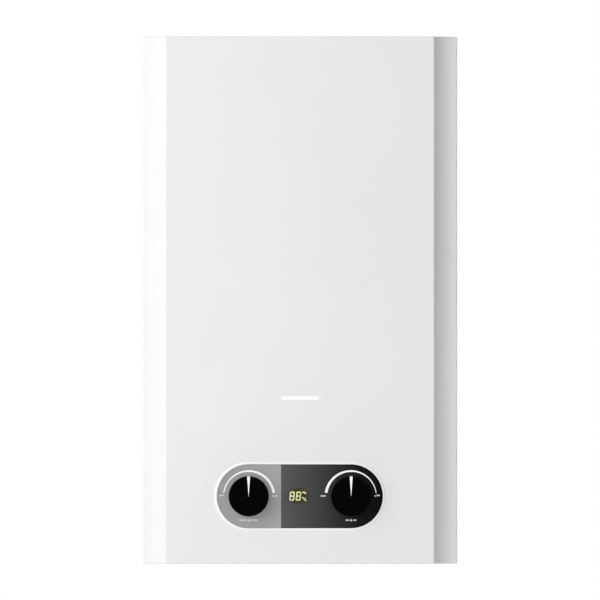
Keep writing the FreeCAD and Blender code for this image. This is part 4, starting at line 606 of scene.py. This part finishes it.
CELL_X, CELL_YS, CELL_LOW, CELL_HIGH, CELL_R = 128.5, (-105.0, -70.0), -240.0, -180.0, 16.6
BAND = 17.0
cell_sleeve, tree, shader = new_finish("cell_sleeve", (0.02, 0.02, 0.022), 0.28)
band_z = (CELL_HIGH - BAND) * MM
banded = spread(tree, distance_along(tree, "Z"), 0, 1, band_z - SHARP / 2, band_z + SHARP / 2)
ink = shade(tree, spread(tree, cloud(tree, 0.004), 0, 1), (0.018, 0.018, 0.020), (0.030, 0.030, 0.033))
gold = shade(tree, spread(tree, cloud(tree, 0.004), 0, 1), (0.55, 0.36, 0.12), (0.46, 0.29, 0.10))
tree.links.new(shade(tree, banded, ink, gold), shader.inputs["Base Color"])
tree.links.new(spread(tree, cloud(tree, 0.005), 0.22, 0.36), shader.inputs["Roughness"])
emboss(tree, shader, cloud(tree, 0.0008), 0.000008)

sleeve_rows = [
    (CELL_R - 2.2, CELL_LOW + 0.5), (CELL_R - 0.5, CELL_LOW + 0.5), (CELL_R - 0.1, CELL_LOW + 0.9),
    (CELL_R, CELL_LOW + 1.6), (CELL_R, CELL_HIGH - 3.4), (CELL_R - 0.5, CELL_HIGH - 2.9),
    (CELL_R - 0.5, CELL_HIGH - 2.3), (CELL_R - 0.1, CELL_HIGH - 1.8), (CELL_R - 0.1, CELL_HIGH - 0.7),
    (CELL_R - 0.6, CELL_HIGH - 0.2), (CELL_R - 2.2, CELL_HIGH - 0.2),
]
cap_rows = [
    (0.0, CELL_HIGH + 1.5), (3.6, CELL_HIGH + 1.5), (4.0, CELL_HIGH + 1.2), (4.2, CELL_HIGH - 0.1),
    (6.5, CELL_HIGH - 0.4), (11.0, CELL_HIGH - 0.5), (12.5, CELL_HIGH), (CELL_R - 2.1, CELL_HIGH),
    (CELL_R - 2.1, CELL_HIGH - 1.5), (0.0, CELL_HIGH - 1.5),
]
base_rows = [
    (0.0, CELL_LOW), (11.0, CELL_LOW), (11.6, CELL_LOW + 0.5), (13.0, CELL_LOW + 0.5),
    (13.6, CELL_LOW + 0.1), (CELL_R - 2.3, CELL_LOW + 0.6), (CELL_R - 2.3, CELL_LOW + 2.0),
    (0.0, CELL_LOW + 2.0),
]
sleeves, caps = [], []
for y in CELL_YS:
    for rows, where in ((sleeve_rows, sleeves), (cap_rows, caps), (base_rows, caps)):
        ring = turned_piece("cell_ring", rows, sides=64)
        ring.transform(Matrix.Translation((CELL_X * MM, y * MM, 0)))
        where.append(ring)
one_piece("cell_sleeves", cell_sleeve, "heater", "cell_jacket", *sleeves, nodes=["battery_cells"])
one_piece("cell_ends", bright_plate, "heater", "plated_steel", *caps)


# ---- Ignition controller and wiring
# A potted black case with two sealed spark towers and a lid. Leads in black sleeving join the display, the
# battery bay, the microswitch and the solenoid to it.
case_black = moulded("case_black", (0.026, 0.026, 0.028), (0.016, 0.016, 0.018), 0.40, 0.56)
lead_black = soft_rubber("lead_black", (0.020, 0.020, 0.021), (0.032, 0.032, 0.033), 0.38, 0.52)
dress(case_black, "igniter_case", "igniter_lid")
dress(lead_black, "wire_harness")


# ---- Draft hood and exhaust grille
# Both are the same zinc sheet as the back plate. The folded hood gathers the burnt gas over the fins, and
# the flat grille above it lets the gas out through fourteen slots.
dress(zinc_sheet, "draft_hood", "exhaust_grille")


# ---- Front cover
# One sheet of 1 mm steel, folded at the two long edges and rolled hollow along both sides, then powder
# coated white. The coat has a faint orange peel and thins to a warmer grey where it has been rubbed.
enamel, tree, shader = new_finish("white_powder_coat", (0.80, 0.80, 0.80), 0.36)
shader.inputs["Specular IOR Level"].default_value = 0.25
patches = spread(tree, cloud(tree, 0.12, detail=2.0), 0, 1)
coat = shade(tree, patches, (0.820, 0.820, 0.819), (0.805, 0.805, 0.804))
thin = spread(tree, edges_of(tree, 0.0012), 0.0, 0.22, 0, 1)
tree.links.new(shade(tree, thin, coat, (0.70, 0.70, 0.69)), shader.inputs["Base Color"])
tree.links.new(spread(tree, cloud(tree, 0.02), 0.34, 0.46), shader.inputs["Roughness"])
emboss(tree, shader, cloud(tree, 0.0022, detail=1.5), 0.00002)
dress(enamel, "front_cover")


# ---- Sight window
# A slim strip of frosted glass, held in a slot of the cover, where the flame shows. It is milky right
# through and is given a faint painted glow.
frosted, tree, shader = new_finish("frosted_glass", (0.93, 0.93, 0.93), 0.35)
milk = shade(tree, spread(tree, cloud(tree, 0.003), 0, 1), (0.99, 0.99, 0.99), (0.96, 0.96, 0.96))
tree.links.new(milk, shader.inputs["Base Color"])
tree.links.new(spread(tree, cloud(tree, 0.001), 0.25, 0.45), shader.inputs["Roughness"])
shader.inputs["Coat Weight"].default_value = 0.3
# Painted glow: the frosted strip gives off a faint light of its own.
shader.inputs["Emission Color"].default_value = (1, 1, 1, 1)
shader.inputs["Emission Strength"].default_value = 0.06
emboss(tree, shader, cloud(tree, 0.0005), 0.000008)
dress(frosted, "sight_window")


# ---- Panel rim
# One gloss white moulding: a pill-shaped rim on the cover's face, a neck with six clips that snap into the
# cover's cut-out, and a floor that carries the two fascias and the display.
PALEST = (0.97, 0.97, 0.97)
rim_white = moulded("rim_white", PALEST, (0.94, 0.94, 0.94), 0.16, 0.28, grain=0.003, depth=0.000004)
dress(rim_white, "panel_bezel")


# ---- Display board and display
# Green circuit board with its parts, and a two-digit display whose warm digits show through the dark
# fascia: seven bars with round ends for each digit, and an arch and a slash beside them.
board_green = moulded("solder_mask", (0.020, 0.14, 0.055), (0.014, 0.10, 0.040), 0.28, 0.42)
display_black = moulded("display_body", (0.030, 0.030, 0.030), (0.022, 0.022, 0.022), 0.45, 0.6)
dress(board_green, "display_board")
dress(display_black, "display_module")

lit, tree, shader = new_finish("lit_segment", (0.20, 0.19, 0.10), 0.5)
grains = spread(tree, cloud(tree, 0.003), 0.0, 1.0)
warm = shade(tree, grains, (0.84, 0.82, 0.50), (0.44, 0.42, 0.18))
tree.links.new(warm, shader.inputs["Emission Color"])
shader.inputs["Emission Strength"].default_value = 0.74

PANEL_Z, INK_FRONT, INK = -204.5, -160.13, 0.06
DIGIT_H, DIGIT_W, DIGIT_LOW, STROKE, SLANT = 8.2, 3.8, -3.95, 1.45, 0.10


def lay_on_panel(name, finish, slot, outlines):
    """One piece made of closed outlines, each standing a coat of ink proud of the panel's face."""
    upright = Matrix.Rotation(math.radians(90), 4, "X")
    place = Matrix.Translation((0, (INK_FRONT + INK / 2) * MM, PANEL_Z * MM))
    flat = [cut_sheet("ink", [outline], INK) for outline in outlines]
    for mesh in flat:
        mesh.transform(place @ upright)
    one_piece(name, finish, "heater", slot, *flat)


def rounded_stroke(a, b, width):
    """Outline of a stroke from a to b with round ends."""
    heading = math.degrees(math.atan2(b[1] - a[1], b[0] - a[0]))
    start = circle_points(*a, width / 2, count=8, start=heading + 90, sweep=180)
    return start + circle_points(*b, width / 2, count=8, start=heading - 90, sweep=180)


SEGMENT_ENDS = [
    ((0.12, 0), (0.88, 0)), ((0.12, 0.5), (0.88, 0.5)), ((0.12, 1), (0.88, 1)),
    ((0, 0.06), (0, 0.44)), ((0, 0.56), (0, 0.94)), ((1, 0.06), (1, 0.44)), ((1, 0.56), (1, 0.94)),
]
DIGIT_LEFTS = (-10.5, -3.8)
ARCH, ARCH_STROKE = [(2.9, 3.9), (3.9, 4.3), (5.0, 4.1), (5.8, 2.9)], 1.6
SLASH, SLASH_STROKE = [(3.0, -1.4), (6.0, -4.3)], 1.4
TICK, TICK_STROKE = [(5.4, -1.3), (6.0, -2.2)], 0.7


def stroke_along(points, width):
    """Outlines of the strokes that join a row of points."""
    return [rounded_stroke(a, b, width) for a, b in zip(points, points[1:])]


strokes = stroke_along(ARCH, ARCH_STROKE) + stroke_along(SLASH, SLASH_STROKE)
strokes += stroke_along(TICK, TICK_STROKE)
for left in DIGIT_LEFTS:
    for ends in SEGMENT_ENDS:
        placed = []
        for across, up in ends:
            rise = up * DIGIT_H
            placed.append((left + across * DIGIT_W + rise * SLANT, DIGIT_LOW + rise))
        strokes += stroke_along(placed, STROKE)
lay_on_panel("display_digits", lit, "display_plastic", strokes)


# ---- Fascias
# The left one is painted a satin silver with a fine flake, made lighter towards the right by a painted
# sheen. The right one is smoked acrylic whose backing is darkened from grey to black towards the right-hand
# knob by a painted reflection, with a painted olive glow round the lit display behind it. Both have painted
# shadow along their edges.
silver, tree, shader = new_finish("silver_paint", (0.30, 0.30, 0.30), 0.42)
SILVER_LEFT, SILVER_RIGHT = -0.0865, -0.0196
# Painted sheen: the silver is made lighter from its left end towards its right end.
painted_light_run = spread(tree, distance_along(tree, "X"), 0.0, 1.0, SILVER_LEFT, SILVER_RIGHT)
silver_with_painted_sheen = shade(tree, painted_light_run, (0.335, 0.335, 0.335), (0.365, 0.365, 0.365))
flake = spread(tree, cloud(tree, 0.0006, detail=1.0), 0.0, 0.25)
silver_with_painted_sheen = shade(tree, flake, silver_with_painted_sheen, (0.42, 0.42, 0.42))
# Painted shadow: the silver darkens along its edges and corners, where the rim's recess shades it.
tree.links.new(shade(tree, edges_of(tree, 0.0006), silver_with_painted_sheen, (0.24, 0.24, 0.24)), shader.inputs["Base Color"])
tree.links.new(spread(tree, cloud(tree, 0.004), 0.36, 0.48), shader.inputs["Roughness"])
emboss(tree, shader, cloud(tree, 0.0008), 0.000006)
dress(silver, "fascia_silver")

# Painted reflection: the smoked backing runs from grey at its left end to black at the right-hand knob.
PAINTED_REFLECTION_FADE = ((SILVER_RIGHT, 0.105), (0.000, 0.075), (0.021, 0.052), (0.038, 0.032), (0.063, 0.010), (0.088, 0.004))
smoked, tree, shader = new_finish("smoked_acrylic", (0.05, 0.05, 0.05), 0.12)
shader.inputs["Specular IOR Level"].default_value = 0.12
PAINTED_REFLECTION_START, PAINTED_REFLECTION_END = PAINTED_REFLECTION_FADE[0][0], PAINTED_REFLECTION_FADE[-1][0]
painted_light_run = spread(tree, distance_along(tree, "X"), 0.0, 1.0, PAINTED_REFLECTION_START, PAINTED_REFLECTION_END)
painted_reflection_ramp = tree.nodes.new("ShaderNodeValToRGB")
while len(painted_reflection_ramp.color_ramp.elements) < len(PAINTED_REFLECTION_FADE):
    painted_reflection_ramp.color_ramp.elements.new(0.5)
for stop, (x, tone) in zip(painted_reflection_ramp.color_ramp.elements, PAINTED_REFLECTION_FADE):
    stop.position = (x - PAINTED_REFLECTION_START) / (PAINTED_REFLECTION_END - PAINTED_REFLECTION_START)
    stop.color = (tone, tone, tone, 1)
tree.links.new(painted_light_run, painted_reflection_ramp.inputs["Fac"])
haze = spread(tree, cloud(tree, 0.01), 0.0, 0.06)
backing_with_painted_light = shade(tree, haze, painted_reflection_ramp.outputs["Color"], (0.06, 0.06, 0.06))
# Painted glow: an olive pool of light round the display, painted into the backing's colour.
PAINTED_GLOW_X, PAINTED_GLOW_Z, PAINTED_GLOW_HALF_W, PAINTED_GLOW_HALF_H = -0.0020, -0.2042, 0.0115, 0.0085
around = wire_up(tree, "TexCoord")["Object"]
centred = {"Location": (-PAINTED_GLOW_X / PAINTED_GLOW_HALF_W, 0, -PAINTED_GLOW_Z / PAINTED_GLOW_HALF_H)}
centred["Scale"] = (1 / PAINTED_GLOW_HALF_W, 0, 1 / PAINTED_GLOW_HALF_H)
painted_glow_at = wire_up(tree, "Mapping", Vector=around, **centred)["Vector"]
from_painted_glow = wire_up(tree, "VectorMath", {"operation": "LENGTH"}, in0=painted_glow_at)["Value"]
glow = spread(tree, from_painted_glow, 0.85, 0.0, 0.60, 1.15)
backing_with_painted_light = shade(tree, glow, backing_with_painted_light, (0.040, 0.034, 0.004))
# Painted shadow: a near-black line along the smoked fascia's edges and corners.
tree.links.new(shade(tree, edges_of(tree, 0.0008), backing_with_painted_light, (0.002, 0.002, 0.002)), shader.inputs["Base Color"])
tree.links.new(spread(tree, cloud(tree, 0.006), 0.08, 0.18), shader.inputs["Roughness"])
dress(smoked, "fascia_dark")


# ---- Printed scales
# Pale screen print round each knob: a crescent that widens towards the middle of the panel and is given a
# little painted glow, small blocks at its two ends, and a sign between dashes below it, a flame for gas, a
# drop for water.
print_white = moulded("white_print", (0.98, 0.98, 0.98), (0.94, 0.94, 0.94), 0.45, 0.6, depth=0.000004)
# Painted glow: the white print gives off a faint light of its own.
print_painted_glow = print_white.node_tree.nodes["Principled BSDF"].inputs
print_painted_glow["Emission Color"].default_value = (1, 1, 1, 1)
print_painted_glow["Emission Strength"].default_value = 0.12
print_grey = moulded("grey_print", (0.80, 0.80, 0.80), (0.66, 0.66, 0.66), 0.45, 0.6, depth=0.000004)
KNOB_X, SCALE_R, SCALE_HALF_SWEEP = 53.4, 26.3, 82.0
THIN, THICK = 0.8, 2.8


def crescent(x, left_width, right_width):
    """An arc over a knob whose width runs from its left end to its right end."""
    outer, inner = [], []
    count = 48
    for k in range(count + 1):
        share = k / count
        angle = math.radians(90 + SCALE_HALF_SWEEP - 2 * SCALE_HALF_SWEEP * share)
        half = (left_width + (right_width - left_width) * share) / 2
        outer.append((x + (SCALE_R + half) * math.cos(angle), (SCALE_R + half) * math.sin(angle)))
        inner.append((x + (SCALE_R - half) * math.cos(angle), (SCALE_R - half) * math.sin(angle)))
    return outer + inner[::-1]


scales = [crescent(-KNOB_X, THIN, THICK), crescent(KNOB_X, THICK, THIN)]
lay_on_panel("printed_scales", print_white, "white_inlay", scales)


def oblong(left, right, low, high):
    """Outline of an upright oblong."""
    return [(left, low), (right, low), (right, high), (left, high)]


BLOCK_W, BLOCK_H, FIRST_BLOCK, BLOCK_PITCH, BLOCKS_IN_A_ROW = 1.5, 1.5, -2.7, 1.9, 3
LOWERED, LEVEL = -0.4, 0.2
ROWS_OF_BLOCKS = ((-82.0, 1), (-26.4, 3), (24.4, 3), (80.6, 1))
blocks = []
for x, lowered in ROWS_OF_BLOCKS:
    for k in range(BLOCKS_IN_A_ROW):
        left = x + FIRST_BLOCK + BLOCK_PITCH * k
        low = LOWERED if k < lowered else LEVEL
        blocks.append(oblong(left, left + BLOCK_W, low, low + BLOCK_H))
lay_on_panel("printed_blocks", print_grey, "white_inlay", blocks)

FLAME = [(0, -1.5), (0.9, -1.2), (1.25, -0.3), (0.9, 0.6), (0.55, 0.1), (0.1, 1.7), (-0.9, 0.6)]
FLAME += [(-1.25, -0.4), (-0.8, -1.2)]
DROP = [(0, 1.7), (0.75, 0.45), (1.05, -0.4), (0.75, -1.15), (0, -1.45), (-0.75, -1.15)]
DROP += [(-1.05, -0.4), (-0.75, 0.45)]
SIGN_Z, FIRST_DASH, DASH_PITCH, DASH_W, DASH_HALF_H = -24.9, 2.0, 2.0, 1.5, 0.75
signs = []
for x, outline, dashes in ((-KNOB_X, FLAME, 4), (KNOB_X, DROP, 2)):
    signs.append([(x + across, SIGN_Z + up) for across, up in outline])
    for side in (-1, 1):
        for k in range(dashes):
            near = FIRST_DASH + DASH_PITCH * k
            left, right = sorted((x + side * near, x + side * (near + DASH_W)))
            signs.append(oblong(left, right, SIGN_Z - DASH_HALF_H, SIGN_Z + DASH_HALF_H))
lay_on_panel("printed_signs", print_grey, "white_inlay", signs)


# ---- Knobs and their pointers
# Two moulded black knobs pushed onto the spindles, each with a satin face, a matt side that gives grip and a
# white pointer moulded in from its rim to the middle of its face.
JET, DEEP_JET = (0.0014, 0.0014, 0.0015), (0.0010, 0.0010, 0.0011)
KNOB_FACE_Y, SATIN_EDGE = -0.1755, 0.0006
knob_black = moulded("knob_black", JET, DEEP_JET, 0.30, 0.42, specular=0.02)
tree = knob_black.node_tree
shader = tree.nodes["Principled BSDF"]
satin_to_matt = spread(tree, distance_along(tree, "Y"), 0.30, 0.85, KNOB_FACE_Y, KNOB_FACE_Y + SATIN_EDGE)
patches = spread(tree, cloud(tree, 0.008), 0.0, 0.12)
worn_satin = wire_up(tree, "Math", {"operation": "ADD"}, in0=satin_to_matt, in1=patches)["Value"]
tree.links.new(worn_satin, shader.inputs["Roughness"])
pointer_white = moulded("pointer_white", (0.97, 0.97, 0.96), (0.93, 0.93, 0.92), 0.35, 0.5, depth=0.000004)
dress(knob_black, "gas_knob", "water_knob")
dress(pointer_white, "gas_knob_pointer", "water_knob_pointer")


# ---- Cover screws
# Four zinc-plated steel screws with a cross recess in a flat head that sits flush. Two go through the
# cover's top and two through the lip at its bottom.
dress(bright_plate, "cover_screws")


# ---- Floor
# A pale sheet of card well below the heater, not part of it. It gives off a little light so that it stays
# as pale as the air, and from underneath it can't be seen.
FLOOR_Z, FLOOR_HALF = -0.95, 5.0
card = bmesh.new()
bmesh.ops.create_grid(card, x_segments=8, y_segments=8, size=FLOOR_HALF)
floor = bpy.data.objects.new("floor", finished_mesh("floor", card))
floor.location = (0, 0, FLOOR_Z)
paper, tree, shader = new_finish("pale_card", (0.86, 0.86, 0.86), 0.9)
fibres = spread(tree, cloud(tree, 0.3), 0, 1)
tree.links.new(shade(tree, fibres, (0.87, 0.87, 0.87), (0.84, 0.84, 0.84)), shader.inputs["Base Color"])
shader.inputs["Emission Color"].default_value = (1, 1, 1, 1)
seen = wire_up(tree, "LightPath")["Is Camera Ray"]
tree.links.new(spread(tree, seen, 0.0, 0.44, 0, 1), shader.inputs["Emission Strength"])
under = wire_up(tree, "NewGeometry")["Backfacing"]
clear = wire_up(tree, "BsdfTransparent")["BSDF"]
top_only = wire_up(tree, "MixShader", in0=under, in1=shader.outputs["BSDF"], in2=clear)["Shader"]
tree.links.new(top_only, tree.nodes["Material Output"].inputs["Surface"])
floor.data.materials.append(paper)
scene.collection.objects.link(floor)
floor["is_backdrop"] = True


low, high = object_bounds()
